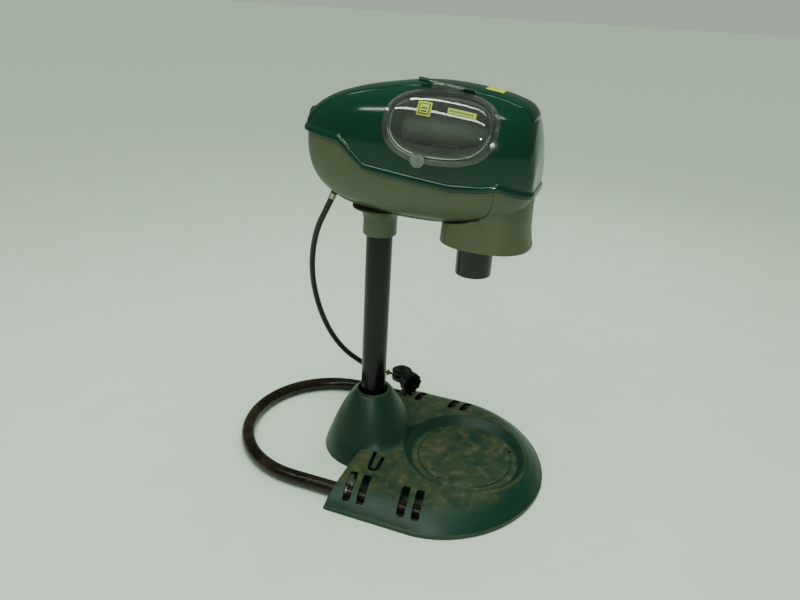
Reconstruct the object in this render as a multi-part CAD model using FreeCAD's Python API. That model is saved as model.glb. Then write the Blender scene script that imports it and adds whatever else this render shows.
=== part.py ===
"""Propane mosquito trap: a moulded base that seats a gas cylinder, a tubular outrigger, a post,
and a trap head with a hinged net door, a fan, a burner and a plume tube.

Frame: millimetres, +Z up, +X forward from the post to the cylinder seat, origin on the post's axis
at the ground. The net door is on the -Y side.
"""
import FreeCAD, Part
import math
import os

V = FreeCAD.Vector
X, Y, Z = V(1, 0, 0), V(0, 1, 0), V(0, 0, 1)

# ---------------------------------------------------------------- driving dimensions (mm)
WALL = 3.0                  # moulded wall of every plastic shell
GAP = 0.3                   # clearance between pieces that seat on each other
RUN = 0.06                  # radial clearance of a shaft in its bearing

# post
POST_R = 29.0
POST_WALL = 2.0
POST_TOP = 603.0
POST_LIFT = 3.0             # the tube stands on the flange of its foot plug
POST_BOLT_R, POST_BOLT_Z = 3.0, 90.0

# outrigger hoop
HOOP_R = 15.9               # tube radius
HOOP_WALL = 1.6
HOOP_Y = 206.0              # half spacing of the legs
HOOP_LEG_X = 235.0          # front end of each leg
HOOP_STRAIGHT_X = -100.0    # where the legs turn into the loop
CLAMP_XS = (27.0, 118.0)    # clamp places along each leg
CLAMP_W = 18.0
CLAMP_T = 2.5               # clamp strap thickness
CLAMP_SCREW_Y = 25.0        # screws this far to each side of the tube
CLAMP_SCREW_R = 1.8

# base
BASE_Y = -14.0              # middle line of the base and the hoop, towards the door's side of the post
BASE_HALF_W = 258.0         # half width of the base at the ground
BASE_FRONT = 425.0          # from the post's axis to the front of the base
BASE_REAR = 0.0             # the straight rear edge of both wings
BASE_TURN = 190.0           # where the straight sides turn into the elliptic front
REAR_LEAN = 0.18            # how far the rear edge leans in, per millimetre of the sides' inset
RIM_H = 7.0                 # upright lip at the ground
DECK_Z = 2 * HOOP_R + GAP + CLAMP_T + WALL + 4.4      # clears the hoop's tube and its straps
SKIRT = ((4.0, RIM_H), (16.0, DECK_Z - 21.5), (28.0, DECK_Z - 12.5), (40.0, DECK_Z - 6.0), (54.0, DECK_Z - 2.5),
         (72.0, DECK_Z))    # side wall: how far in, and how high
SEAT_X, SEAT_Y = 240.0, -6.0             # centre of the cylinder seat
SEAT_R = 124.0              # flat floor of the seat
SEAT_RIM_R = 141.0          # where the seat's slope meets the deck
SEAT_DEPTH = 17.0
ISLAND_R, ISLAND_H = 109.0, 2.0          # raised round inside the seat, under the cylinder's foot ring
DRAIN_X, DRAIN_Y, DRAIN_R = 336.0, 57.0, 3.0
BOSS_BORE_R = POST_R + 6.5
BOSS_TOP, BOSS_TOP_R = 150.0, BOSS_BORE_R + 5.5
BOSS_REAR_R = 110.0         # boss radius at the ground, towards the rear
BOSS_SIDE_R = 122.0         # and towards the sides
SOCKET_Z = 12.0             # lower end of the post's socket
SLOT_W, SLOT_L = 18.0, 74.0
SLOT_XS = (39.0, 71.0, 162.0, 194.0)
SLOT_Y = 202.0              # slots' middles, to each side of the base's middle line
SLOT_TURN = 8.0
FOOT_H, FOOT_R, FOOT_RING_R = 4.0, 12.0, 85.0         # rubber feet on a ring under the seat

# head: x, half width, top, bottom of the outer form, rear to front, drawn for a post that ends at HEAD_DATUM
HEAD_DATUM = 603.0
HEAD = [(-157, 30, 774, 704), (-152, 44, 786, 684), (-140, 56, 798, 657), (-118, 68, 813, 634),
        (-85, 81, 828, 617), (-34, 94, 843, 606), (29, 104, 855, 599), (80, 110, 862, 597),
        (130, 112, 864, 597), (179, 111, 861, 598), (227, 107, 855, 602), (262, 99, 847, 612),
        (290, 87, 836, 626), (306, 76, 814, 642), (316, 64, 776, 660), (320, 54, 742, 676)]
WIDEST = 0.47               # share of the height at which the form is widest
TOP_POWER, BOTTOM_POWER = 2.4, 2.8
SPLIT = [(-175, 752), (-61, 743), (0, 696), (75, 690), (175, 681), (207, 683), (235, 685), (263, 691),
         (340, 667)]          # X and Z of the cover's lower edge
COVER_OUT = 2.5             # how far the cover stands outside the belly
LIP_OUT, LIP_H = 4.0, 14.0  # raised bead along the cover's lower edge
DECK, DECK_T = 667.0, 3.0   # underside and thickness of the shelf inside the head
HEAD_SCREWS = [(-60, 45, 612), (-60, -45, 612), (45, 62, 606), (45, -62, 606)]

# snout, collar and plume tube
SNOUT_Z, SNOUT_TOP = 565.0, 672.0
PLUME_X = 212.0
PLUME_R, PLUME_WALL = 37.5, 2.5
PLUME_Z, PLUME_TOP = 488.0, 640.0
COLLAR_R, COLLAR_Z, COLLAR_TOP = POST_R + 7.5, 540.0, 612.0
COLLAR_SCREW_Z = COLLAR_Z + 28.0
BURNER_Z, BURNER_R = 614.0, 15.7         # burner's outlet pipe into the plume tube

# net door
DOOR_CX, DOOR_CY, DOOR_CZ = 142.0, -100.0, 800.0
DOOR_A, DOOR_B = 111.0, 71.0
DOOR_POWER = 2.5
DOOR_BULGE, DOOR_WALL = 13.0, 2.2
DOOR_TILT = math.radians(30)
DOOR_D = V(0, -math.cos(DOOR_TILT), math.sin(DOOR_TILT))      # the door's outward direction
DOOR_U = V(0, math.sin(DOOR_TILT), math.cos(DOOR_TILT))
DOOR_O = V(DOOR_CX, DOOR_CY, DOOR_CZ)
HINGE_Y, HINGE_Z = -48.5, 862.0       # hinge line at DOOR_CX
HINGE_TILT = math.radians(7.0)        # the line drops towards the front
HINGE_DIR = V(math.cos(HINGE_TILT), 0, -math.sin(HINGE_TILT))
HINGE_R = 4.2
HINGE_PIN_R = 1.6
HINGE_X0, HINGE_X1, KNUCKLE_L = 84.0, 172.0, 20.0     # rear ends of the two knuckles, and their length
LATCH_X, LATCH_Z, LATCH_R = 113.0, 734.0, 13.5
LATCH_Y = -112.0            # the cover's surface at the latch
LATCH_HOLE_R, LATCH_SHAFT_R = 7.0, 4.0

# fan
FAN_X, FAN_Y, FAN_Z = 8.0, 0.0, 765.0
FAN_R = 50.0
SHROUD_R, SHROUD_T = FAN_R + 4.0, 3.0
SHAFT_R = 3.0

# power switch and socket on the far side
SWITCH_X, SWITCH_Z, SWITCH_PIN_Y = 30.0, 655.0, 90.0
JACK_X = 68.0

# gas hose and regulator
HOSE_R = 7.0
INLET = V(-104.0, 5.0, 627.0)         # where the hose leaves the head
INLET_D = V(-0.45, 0.155, -0.8795)    # and the way it leaves
HOSE_END_D = V(0.92, 0.363, -0.145)   # the way the hose enters the regulator
REG = V(1.0, 212.0, 71.0)             # centre of the regulator
REG_R, REG_H = 27.0, 20.0
NIPPLE_OUT = 44.0                     # the hose ends this far from the regulator's centre
NUT_R, NUT_L = 28.0, 24.0
NUT_D = V(0.788, -0.616, 0)           # the coupling nut's axis, pointing to the cylinder's valve
HOSE = [INLET + INLET_D * 16.5, V(-134, 16, 571), V(-162, 28, 521), V(-183, 45, 461), V(-196, 65, 394),
        V(-199, 88, 325), V(-191, 112, 253), V(-172, 138, 185), V(-143, 160, 135), V(-109, 178, 104),
        V(-72, 185, 84), REG - HOSE_END_D * NIPPLE_OUT]


# ---------------------------------------------------------------- helpers
def cyl(r, h, at, axis=Z):
    return Part.makeCylinder(r, h, at, axis)


def ring(r_out, r_in, h, at, axis=Z):
    return cyl(r_out, h, at, axis).cut(cyl(r_in, h + 2, at - axis * 1, axis))


def box(x0, x1, y0, y1, z0, z1):
    return Part.makeBox(x1 - x0, y1 - y0, z1 - z0, V(x0, y0, z0))


def fuse(shapes):
    first, rest = shapes[0], shapes[1:]
    return first.fuse(rest).removeSplitter() if rest else first


def closed_curve(points):
    curve = Part.BSplineCurve()
    curve.interpolate(points, PeriodicFlag=True)
    return Part.Wire(curve.toShape())


def save(name, shape):
    solids = shape.Solids
    assert solids, name + " has no solid"
    for solid in solids:
        assert solid.isValid() and solid.Volume > 0, name + " has a bad solid"
    out = solids[0] if len(solids) == 1 else Part.makeCompound(solids)
    out.exportStep("parts/" + name + ".step")


def save_head(name, shape):
    """A piece of the head, which rides on the post's top."""
    save(name, shape.translated(Z * (POST_TOP - HEAD_DATUM)))


def spow(value, power):
    """Signed power, for superellipses."""
    return math.copysign(abs(value) ** power, value)


def screw(at, axis, head_r=4.0, head_h=2.4, shank_r=1.8, length=10.0):
    """Pan head on a shank; the head's underside is at the given point and the shank runs along axis."""
    head = cyl(head_r, head_h, at - axis * head_h, axis)
    cross = cyl(head_r * 0.45, 1.2, at - axis * head_h, axis)
    return fuse([head.cut(cross), cyl(shank_r, length, at, axis)])


# ---------------------------------------------------------------- base
def base_outline(inset, z):
    """Elliptic front, straight sides and a straight rear edge, as one closed wire."""
    w = BASE_HALF_W - inset
    rear, reach = BASE_REAR + inset * REAR_LEAN, BASE_FRONT - inset - BASE_TURN
    c = V(BASE_TURN, BASE_Y, z)
    left, right = V(rear, BASE_Y - w, z), V(rear, BASE_Y + w, z)
    nose = Part.Arc(Part.Ellipse(c + Y * w, c - X * reach, c), -math.pi, 0.0)
    edges = [Part.LineSegment(left, c - Y * w), nose, Part.LineSegment(c + Y * w, right),
             Part.LineSegment(right, left)]
    return Part.Wire([edge.toShape() for edge in edges])


def base_skin(inset, drop):
    """The base's outer form, taken in by inset and lowered by drop: upright lip, then skirt up to the deck."""
    low = Part.makeLoft([base_outline(inset, -1 if drop else 0), base_outline(inset, RIM_H - drop)], True, True)
    wires = [base_outline(inset + d, z - drop) for d, z in SKIRT]
    return low.fuse(Part.makeLoft(wires, True, True))


def boss_radius(z):
    """The boss is a paraboloid: its radius squared falls evenly from the ground to the top."""
    return math.sqrt(1 - (1 - (BOSS_TOP_R / BOSS_REAR_R) ** 2) * z / BOSS_TOP)


def boss_form(inset, drop):
    """The boss as a loft of ellipses; inset and drop give its inside."""
    wires = []
    for z in (0, 15, 40, 70, 100, 125, 140, BOSS_TOP):
        k = boss_radius(z)
        share = (k * BOSS_REAR_R - BOSS_TOP_R) / (BOSS_REAR_R - BOSS_TOP_R)
        rx, ry = k * BOSS_REAR_R - inset, BOSS_TOP_R + (BOSS_SIDE_R - BOSS_TOP_R) * share - inset
        pts = [V(rx * math.cos(a), ry * math.sin(a), max(z - drop, -1 if drop else 0))
               for a in (2 * math.pi * i / 24 for i in range(24))]
        wires.append(closed_curve(pts))
    return Part.makeLoft(wires, True, False)


def clamp_screw_places():
    """X and Y of the four clamps' screws, one to each side of the tube."""
    legs = [BASE_Y - HOOP_Y, BASE_Y + HOOP_Y]
    return [(x, leg + dy) for leg in legs for x in CLAMP_XS for dy in (-CLAMP_SCREW_Y, CLAMP_SCREW_Y)]


def foot_places():
    """Four feet on a ring under the seat."""
    turns = [math.pi / 4 * k for k in (1, 3, 5, 7)]
    return [(SEAT_X + FOOT_RING_R * math.cos(a), SEAT_Y + FOOT_RING_R * math.sin(a)) for a in turns]


def deck_slot(x, side):
    """Cutter of one tie-down slot, turned a little about its middle."""
    slot = box(x - SLOT_W / 2, x + SLOT_W / 2, -SLOT_L / 2, SLOT_L / 2, RIM_H + 1, DECK_Z + 10)
    slot.rotate(V(x, 0, 0), Z, -side * SLOT_TURN)
    return slot.translated(V(0, BASE_Y + side * SLOT_Y, 0))


def hoop_passage(side):
    """Cutter through the rear edge for one leg of the hoop, open to the ground."""
    y, r = BASE_Y + side * HOOP_Y, HOOP_R + 1.5
    x0, x1 = BASE_REAR - 5, BASE_REAR + 25
    return cyl(r, x1 - x0, V(x0, y, HOOP_R), X).fuse(box(x0, x1, y - r, y + r, -1, HOOP_R))


def base_shell():
    outer = fuse([base_skin(0, 0), boss_form(0, 0)])
    inner = base_skin(WALL, WALL).fuse(boss_form(WALL, WALL))
    shell = outer.cut(inner)
    floor = V(SEAT_X, SEAT_Y, DECK_Z - SEAT_DEPTH)
    pan = Part.makeCone(SEAT_R + WALL, SEAT_RIM_R + WALL, SEAT_DEPTH, floor - Z * WALL).common(outer)
    seat = Part.makeCone(SEAT_R, SEAT_RIM_R, SEAT_DEPTH + 0.01, floor)
    shell = shell.fuse(pan).cut(seat.fuse(cyl(SEAT_RIM_R, 4, floor + Z * SEAT_DEPTH)))
    shell = shell.fuse(cyl(ISLAND_R, ISLAND_H, floor))
    cuts = [cyl(BOSS_BORE_R, BOSS_TOP, V(0, 0, DECK_Z)), cyl(DRAIN_R, 20, V(DRAIN_X, DRAIN_Y, floor.z - 10))]
    for side in (-1, 1):
        cuts += [deck_slot(x, side) for x in SLOT_XS]
        cuts.append(hoop_passage(side))
    shell = shell.cut(cuts)
    shell = shell.fuse(ring(BOSS_BORE_R + WALL, BOSS_BORE_R, BOSS_TOP - 2 - SOCKET_Z, V(0, 0, SOCKET_Z)))
    shell = shell.cut(cyl(POST_BOLT_R + 0.2, 100, V(0, -50, POST_BOLT_Z), Y))
    # columns under the deck for the clamps' screws, and under the seat for the rubber feet
    columns = []
    for x, y in clamp_screw_places():
        low = V(x, y, CLAMP_T)
        column = cyl(4.6, DECK_Z - CLAMP_T, low).cut(cyl(CLAMP_SCREW_R + RUN, 12, low))
        columns.append(column.common(base_skin(WALL / 2, WALL / 2)))
    for x, y in foot_places():
        columns.append(cyl(9, floor.z - WALL + 1 - FOOT_H, V(x, y, FOOT_H)))
    return fuse([shell] + columns)


def hoop():
    """U of tube: two straight legs joined by a half torus."""
    def solid(r):
        middle = V(HOOP_STRAIGHT_X, BASE_Y, HOOP_R)
        loop = Part.makeTorus(HOOP_Y, r, middle, Z, -180, 180, 180).rotate(middle, Z, 90)
        legs = [cyl(r, HOOP_LEG_X - HOOP_STRAIGHT_X, middle + Y * side * HOOP_Y, X) for side in (-1, 1)]
        return fuse([loop] + legs)

    return solid(HOOP_R).cut(solid(HOOP_R - HOOP_WALL))


def hoop_clamp(x, y):
    """Strap bent over the tube, with an ear to each side for a screw from below."""
    x0, x1, low = x - CLAMP_W / 2, x + CLAMP_W / 2, 0.6
    near, far = HOOP_R + GAP, HOOP_R + GAP + CLAMP_T
    saddle = ring(far, near, CLAMP_W, V(x0, y, HOOP_R), X)
    pieces = [saddle.cut(box(x0 - 1, x1 + 1, y - 40, y + 40, -5, HOOP_R - 4))]
    for side in (-1, 1):
        inner, outer = sorted((y + side * near, y + side * far))
        pieces.append(box(x0, x1, inner, outer, low, HOOP_R))
        hole_y = y + side * CLAMP_SCREW_Y
        ear = box(x0, x1, hole_y - 7, hole_y + 7, low, CLAMP_T)
        pieces.append(ear.cut(cyl(CLAMP_SCREW_R + RUN, 10, V(x, hole_y, -1))))
    return fuse(pieces)


def hoop_parts():
    save("base_hoop", hoop())
    plugs, clamps = [], []
    for side in (-1, 1):
        y = BASE_Y + side * HOOP_Y
        at = V(HOOP_LEG_X + GAP, y, HOOP_R)
        plugs.append(cyl(HOOP_R, 3, at, X).fuse(cyl(HOOP_R - HOOP_WALL - GAP, 14, at - X * 14, X)))
        clamps += [hoop_clamp(x, y) for x in CLAMP_XS]
    screws = [cyl(CLAMP_SCREW_R, 10, V(x, y, 0.6)).fuse(cyl(2 * CLAMP_SCREW_R, 0.5, V(x, y, 0.1)))
              for x, y in clamp_screw_places()]
    save("hoop_end_plugs", Part.makeCompound(plugs))
    save("hoop_clamps", Part.makeCompound(clamps))
    save("hoop_clamp_screws", Part.makeCompound(screws))


def base_parts():
    save("base_shell", base_shell())
    save("base_feet", Part.makeCompound([cyl(FOOT_R, FOOT_H - 0.01, V(x, y, 0)) for x, y in foot_places()]))


def hexagon(at, axis, r, h):
    """Hexagonal prism from the given point along axis."""
    pts = [V(r * math.cos(math.pi / 3 * i), r * math.sin(math.pi / 3 * i), 0) for i in range(7)]
    body = Part.Face(Part.makePolygon(pts)).extrude(V(0, 0, h))
    body.Placement = FreeCAD.Placement(at, FreeCAD.Rotation(Z, axis))
    return body


def post_parts():
    across = cyl(POST_BOLT_R + 0.2, 100, V(0, -50, POST_BOLT_Z), Y)
    screw_z = COLLAR_SCREW_Z + POST_TOP - HEAD_DATUM
    tube = ring(POST_R, POST_R - POST_WALL, POST_TOP - POST_LIFT, V(0, 0, POST_LIFT))
    save("post", tube.cut(across).cut(cyl(2.2, 30, V(0, 15, screw_z), Y)))
    plug = cyl(POST_R + 3, POST_LIFT - GAP / 2, V(0, 0, 0)).fuse(cyl(POST_R - POST_WALL - GAP, 14, V(0, 0, 1)))
    save("post_foot_plug", plug)
    bush = ring(BOSS_BORE_R - 0.2, POST_R + 0.2, 100, V(0, 0, SOCKET_Z + 6))
    save("post_bush", bush.cut(across))
    reach = BOSS_BORE_R + WALL + 0.1
    head = V(0, -reach, POST_BOLT_Z)
    save("post_bolt", fuse([hexagon(head - Y * 4, Y, 5.5, 4), cyl(POST_BOLT_R, 2 * reach + 9, head, Y)]))
    nut = hexagon(V(0, reach, POST_BOLT_Z), Y, 5.5, 5)
    save("post_bolt_nut", nut.cut(cyl(POST_BOLT_R + 0.05, 7, V(0, reach - 1, POST_BOLT_Z), Y)))


# ---------------------------------------------------------------- head
forms = {}


def form(inset):
    """The head's outer form taken in by inset, a loft of superellipses."""
    if inset not in forms:
        middle, half = (HEAD[0][0] + HEAD[-1][0]) / 2, (HEAD[-1][0] - HEAD[0][0]) / 2
        wires = []
        for x, w, top, low in HEAD:
            zc = low + (top - low) * WIDEST
            pts = []
            for i in range(32):
                a = 2 * math.pi * i / 32
                power, h = (TOP_POWER, top - zc) if math.sin(a) > 0 else (BOTTOM_POWER, zc - low)
                pts.append(V(middle + (x - middle) * (half - inset) / half,
                             (w - inset) * spow(math.cos(a), 2 / power),
                             zc + (h - inset) * spow(math.sin(a), 2 / power)))
            wires.append(closed_curve(pts))
        forms[inset] = Part.makeLoft(wires, True, False)
    return forms[inset]


def above(dz):
    """Everything above the cover's lower edge raised by dz."""
    line = [V(x, -200, z + dz) for x, z in SPLIT]
    ring_ = line + [V(340, -200, 1000), V(-175, -200, 1000), line[0]]
    return Part.Face(Part.makePolygon(ring_)).extrude(V(0, 400, 0))


def door_prism(grow, depth=70.0, out=60.0):
    """The door's outline grown by grow and extruded along its outward direction."""
    pts = []
    for i in range(36):
        a = 2 * math.pi * i / 36
        p = DOOR_O + X * (DOOR_A + grow) * spow(math.cos(a), 2 / DOOR_POWER)
        p += DOOR_U * (DOOR_B + grow) * spow(math.sin(a), 2 / DOOR_POWER)
        pts.append(p - DOOR_D * depth)
    return Part.Face(closed_curve(pts)).extrude(DOOR_D * (depth + out))


def on_hinge(x):
    """Point of the hinge's axis at the given X."""
    return V(x, HINGE_Y, HINGE_Z - (x - DOOR_CX) * math.tan(HINGE_TILT))


def hinge_run(x0, x1, r):
    a, b = on_hinge(x0), on_hinge(x1)
    return cyl(r, (b - a).Length, a, HINGE_DIR)


def cover():
    shell = form(0).cut(form(WALL)).common(above(0))
    lip = form(-LIP_OUT).cut(form(WALL)).common(above(0)).cut(above(LIP_H))
    pieces = [lip]
    for x0 in (HINGE_X0, HINGE_X1):
        x1 = x0 + KNUCKLE_L
        foot = box(x0 + 0.6, x1 - 0.6, HINGE_Y - 2, HINGE_Y + HINGE_R, HINGE_Z - 22, on_hinge(x1).z)
        pieces.append(hinge_run(x0, x1, HINGE_R).fuse(foot.cut(form(WALL - 1))))
    whole = shell.fuse(pieces[0]).cut(door_prism(-8)).fuse(pieces[1:])
    whole = whole.cut(cyl(LATCH_HOLE_R, 30, V(LATCH_X, LATCH_Y + 22, LATCH_Z), -Y))
    return whole.cut(hinge_run(HINGE_X0 - 2, HINGE_X1 + KNUCKLE_L + 2, HINGE_PIN_R + 0.02))


def door():
    """Flange on the cover, upright wall and low dome, a barrel on two tabs at the hinge, a lug at the latch."""
    flange = form(-GAP - DOOR_WALL).cut(form(-GAP)).common(door_prism(0))
    dome = form(-DOOR_BULGE).cut(form(-DOOR_BULGE + DOOR_WALL)).common(door_prism(-17))
    wall = form(-DOOR_BULGE).cut(form(-GAP)).common(door_prism(-17).cut(door_prism(-19.4)))
    pieces = [flange.cut(door_prism(-18)).fuse([dome, wall])]
    barrel_end = HINGE_X1 - 0.5
    pieces.append(hinge_run(HINGE_X0 + KNUCKLE_L + 0.5, barrel_end, HINGE_R))
    for x in (HINGE_X0 + KNUCKLE_L + 6, barrel_end - 19.5):
        p = on_hinge(x)
        tab = box(x, x + 14, HINGE_Y - 24, HINGE_Y, p.z - 3.6, p.z + 0.4)
        tab.rotate(p, X, 45)
        pieces.append(tab.cut(form(-GAP)))
    whole = fuse(pieces).cut(hinge_run(HINGE_X0, HINGE_X1 + 2, HINGE_PIN_R + RUN))
    lug = cyl(8, 6, V(LATCH_X, LATCH_Y + 2.5, LATCH_Z), -Y).cut(form(-GAP))
    return whole.fuse(lug).cut(cyl(LATCH_SHAFT_R + RUN, 40, V(LATCH_X, LATCH_Y + 20, LATCH_Z), -Y))


def latch():
    """Knob with a grip bar outside the door, and a cam behind the cover's wall."""
    middle = V(LATCH_X, LATCH_Y, LATCH_Z)
    knob = cyl(LATCH_R, 7, middle - Y * 4, -Y)
    grip = box(LATCH_X - 2, LATCH_X + 2, LATCH_Y - 15, LATCH_Y - 10.5, LATCH_Z - 11, LATCH_Z + 11)
    cam = cyl(5.5, 2.5, middle + Y * 10.5, -Y)
    return fuse([knob, grip, cyl(LATCH_SHAFT_R, 16, middle + Y * 9, -Y), cam])


def bowl():
    shell = form(COVER_OUT).cut(form(COVER_OUT + WALL)).cut(above(-GAP))
    cuts = [cyl(POST_R + 1, 60, V(0, 0, 580)), cyl(64, 60, V(PLUME_X + 14, 0, 580)),
            cyl(6.2, 40, INLET - INLET_D * 10, INLET_D)]
    cuts.append(box(SWITCH_X - 14.3, SWITCH_X + 14.3, 60, 140, SWITCH_Z - 9.3, SWITCH_Z + 9.3))
    cuts.append(cyl(7.3, 60, V(JACK_X, 70, SWITCH_Z), Y))
    return shell.cut(cuts)


def snout_plan(z, x0, x1, w, inset):
    """Rounded plan of the snout at one height."""
    c, r = (x0 + x1) / 2, (x1 - x0) / 2 - inset
    turns = [2 * math.pi * i / 28 for i in range(28)]
    return closed_curve([V(c + r * spow(math.cos(a), 0.8), (w - inset) * spow(math.sin(a), 0.8), z)
                         for a in turns])


def snout(inset, low, top):
    rows = [(low, 140, 325, 88), (600, 142, 318, 86), (640, 146, 316.5, 82), (top, 150, 316, 76)]
    return Part.makeLoft([snout_plan(*row, inset) for row in rows], True, False)


def chassis():
    """Snout, collar round the post and the web that joins them under the bowl."""
    hollow = snout(WALL, SNOUT_Z - 1, SNOUT_TOP + 1)
    collar = cyl(COLLAR_R, COLLAR_TOP - COLLAR_Z, V(0, 0, COLLAR_Z))
    web = Part.makePolygon([V(20, -9, 556), V(30, -9, 556), V(150, -9, 585), V(150, -9, 640), V(20, -9, 640),
                            V(20, -9, 556)])
    whole = fuse([collar, Part.Face(web).extrude(Y * 18), snout(0, SNOUT_Z, SNOUT_TOP)])
    whole = whole.cut(hollow).cut(form(COVER_OUT - GAP))
    return whole.cut([cyl(POST_R + 0.25, 90, V(0, 0, COLLAR_Z - 5)), cyl(2.2, 30, V(0, 20, COLLAR_SCREW_Z), Y)])


def shell_parts():
    save_head("head_cover", cover())
    save_head("net_door", door())
    save_head("door_latch", latch())
    save_head("hinge_pin", hinge_run(HINGE_X0 - 1, HINGE_X1 + KNUCKLE_L + 1, HINGE_PIN_R))
    save_head("head_bowl", bowl())
    save_head("head_chassis", chassis())
    save_head("collar_screw", screw(V(0, COLLAR_R + 0.1, COLLAR_SCREW_Z), -Y, 4.5, 2.6, 2.1, 14))


INSIDE = COVER_OUT + WALL + GAP     # the belly's inner face, with clearance
ON_SHELF = DECK + DECK_T + 0.1      # what stands on the shelf starts here


def shelf_parts():
    """The shelf across the head, its pillars, and the hood that shields the intake's opening in it."""
    half = PLUME_R - 2.5
    shelf = box(-170, 330, -130, 130, DECK, DECK + DECK_T).common(form(INSIDE))
    opening = box(PLUME_X - half, PLUME_X + half, -half, half, DECK - 1, DECK + DECK_T + 1)
    save_head("inner_shelf", shelf.cut(opening))
    out, inner = half + 7, half + 4
    hood = box(PLUME_X - out, PLUME_X + out, -out, out, ON_SHELF, ON_SHELF + 26).cut(
        box(PLUME_X - inner, PLUME_X + inner, -inner, inner, ON_SHELF - 1, ON_SHELF + 30))
    bars = [box(PLUME_X - inner - 1, PLUME_X + inner + 1, y - 1, y + 1, ON_SHELF + 20, ON_SHELF + 24)
            for y in (-26, -13, 0, 13, 26)]
    save_head("intake_hood", fuse([hood] + bars))
    pillars = [ring(4.5, 1.85, DECK - z - 6.1, V(x, y, z + 6)).common(form(INSIDE)) for x, y, z in HEAD_SCREWS]
    save_head("shelf_pillars", Part.makeCompound(pillars))


def burner_parts():
    """Plume tube with its spider, the burner that feeds it, the gas valve, and the pipe from the inlet."""
    tube = ring(PLUME_R, PLUME_R - PLUME_WALL, PLUME_TOP - PLUME_Z, V(PLUME_X, 0, PLUME_Z))
    tube = tube.fuse(cyl(PLUME_R, PLUME_WALL, V(PLUME_X, 0, PLUME_TOP - PLUME_WALL)))
    save_head("plume_tube", tube.cut(cyl(BURNER_R + GAP, 60, V(PLUME_X - 60, 0, BURNER_Z), X)))
    arm_z = PLUME_TOP - 16
    spider = [ring(PLUME_R + 4, PLUME_R + GAP / 2, 12, V(PLUME_X, 0, arm_z))]
    for turn in (0, 120, 240):
        arm = box(PLUME_R + 2, 110, -4, 4, arm_z, arm_z + 6)
        arm.rotate(V(0, 0, 0), Z, turn)
        spider.append(arm.translated(V(PLUME_X, 0, 0)))
    port = cyl(BURNER_R + 2 * GAP, 60, V(PLUME_X - 80, 0, BURNER_Z), X)
    save_head("plume_spider", fuse(spider).common(form(INSIDE)).cut(port))
    outlet = ring(BURNER_R, BURNER_R - 2.2, PLUME_X - 150, V(130, 0, BURNER_Z), X)
    block = box(62, 140, -30, 30, 620, 660).fuse(outlet).common(form(INSIDE + 0.7))
    fins = [box(64 + 8 * i, 66 + 8 * i, -30, 30, 659, DECK - GAP) for i in range(10)]
    save_head("burner", fuse([block] + fins))
    save_head("gas_valve", fuse([box(-58, -22, -16, 16, 628, DECK - GAP), cyl(11, 70, V(-22, 0, 645), X)]).cut(
        cyl(4, 40, V(20, 0, 645), X)))
    nut = cyl(9.5, 4, INLET - INLET_D * 12, INLET_D).common(form(INSIDE))
    fitting = cyl(6, 30, INLET - INLET_D * 14, INLET_D).fuse(nut)
    save_head("gas_inlet_fitting", fitting.cut(cyl(3.2, 50, INLET - INLET_D * 20, INLET_D)))
    corner = INLET - INLET_D * 21
    pipe = [cyl(3, -58.2 - corner.x, corner, X), Part.makeSphere(3, corner), cyl(3, 11, corner, INLET_D)]
    save_head("gas_feed_pipe", fuse(pipe))


def fan_parts():
    """Shroud on its foot, the cage that holds the motor, and the seven-bladed impeller on its spindle."""
    at = V(FAN_X, FAN_Y, FAN_Z)
    cage = [ring(SHROUD_R, SHROUD_R - SHROUD_T, 30, at - X * 15, X), ring(20, 16.4, 6, at - X * 29, X)]
    for k in range(4):
        arm = box(-29, -25, 17, SHROUD_R - 2, -2, 2).fuse(box(-29, -10, SHROUD_R - SHROUD_T, SHROUD_R, -2, 2))
        arm.rotate(V(0, 0, 0), X, 45 + 90 * k)
        cage.append(arm.translated(at))
    foot = box(FAN_X - 12, FAN_X + 12, -40, 40, ON_SHELF, FAN_Z - 30).cut(cyl(SHROUD_R - 1, 40, at - X * 20, X))
    save_head("fan_shroud", fuse([cage[0], foot] + cage[1:]))
    save_head("fan_motor", fuse([cyl(16, 26, at - X * 30, X), cyl(SHAFT_R, 26, at - X * 5, X)]))
    rotor = [cyl(13, 17, at - X * 2, X).cut(cyl(SHAFT_R + RUN, 40, at - X * 10, X))]
    room = box(FAN_X - 1.8, FAN_X + 14.8, -FAN_R - 9, FAN_R + 9, FAN_Z - FAN_R - 9, FAN_Z + FAN_R + 9)
    for k in range(7):
        blade = box(-1, 1, 11, FAN_R - 1.5, -9, 9)
        blade.rotate(V(0, 0, 0), Y, 38)
        blade.translate(V(6.5, 0, 0))
        blade.rotate(V(0, 0, 0), X, k * 360 / 7)
        rotor.append(blade.translated(at).common(room))
    save_head("fan_impeller", fuse(rotor))


NET_X0 = FAN_X + 15.2       # the net's frame stands this close to the shroud
NET_T = 0.8


def sack(inset):
    """The net's form: X, half width, middle and half height at its five hoops, mouth at the fan."""
    mouth = SHROUD_R - 6
    rows = [(NET_X0 + 7.2 - (0.5 if inset else 0), mouth, FAN_Z, mouth - 2), (80, 50, 775, 31),
            (140, 46, 773, 29), (190, 38, 771, 23), (219 - inset, 26, 768, 16)]
    turns = [2 * math.pi * i / 24 for i in range(24)]
    wires = [closed_curve([V(x, (w - inset) * spow(math.cos(a), 0.9), z + (h - inset) * spow(math.sin(a), 0.9))
                           for a in turns]) for x, w, z, h in rows]
    return Part.makeLoft(wires, True, False)


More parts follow.
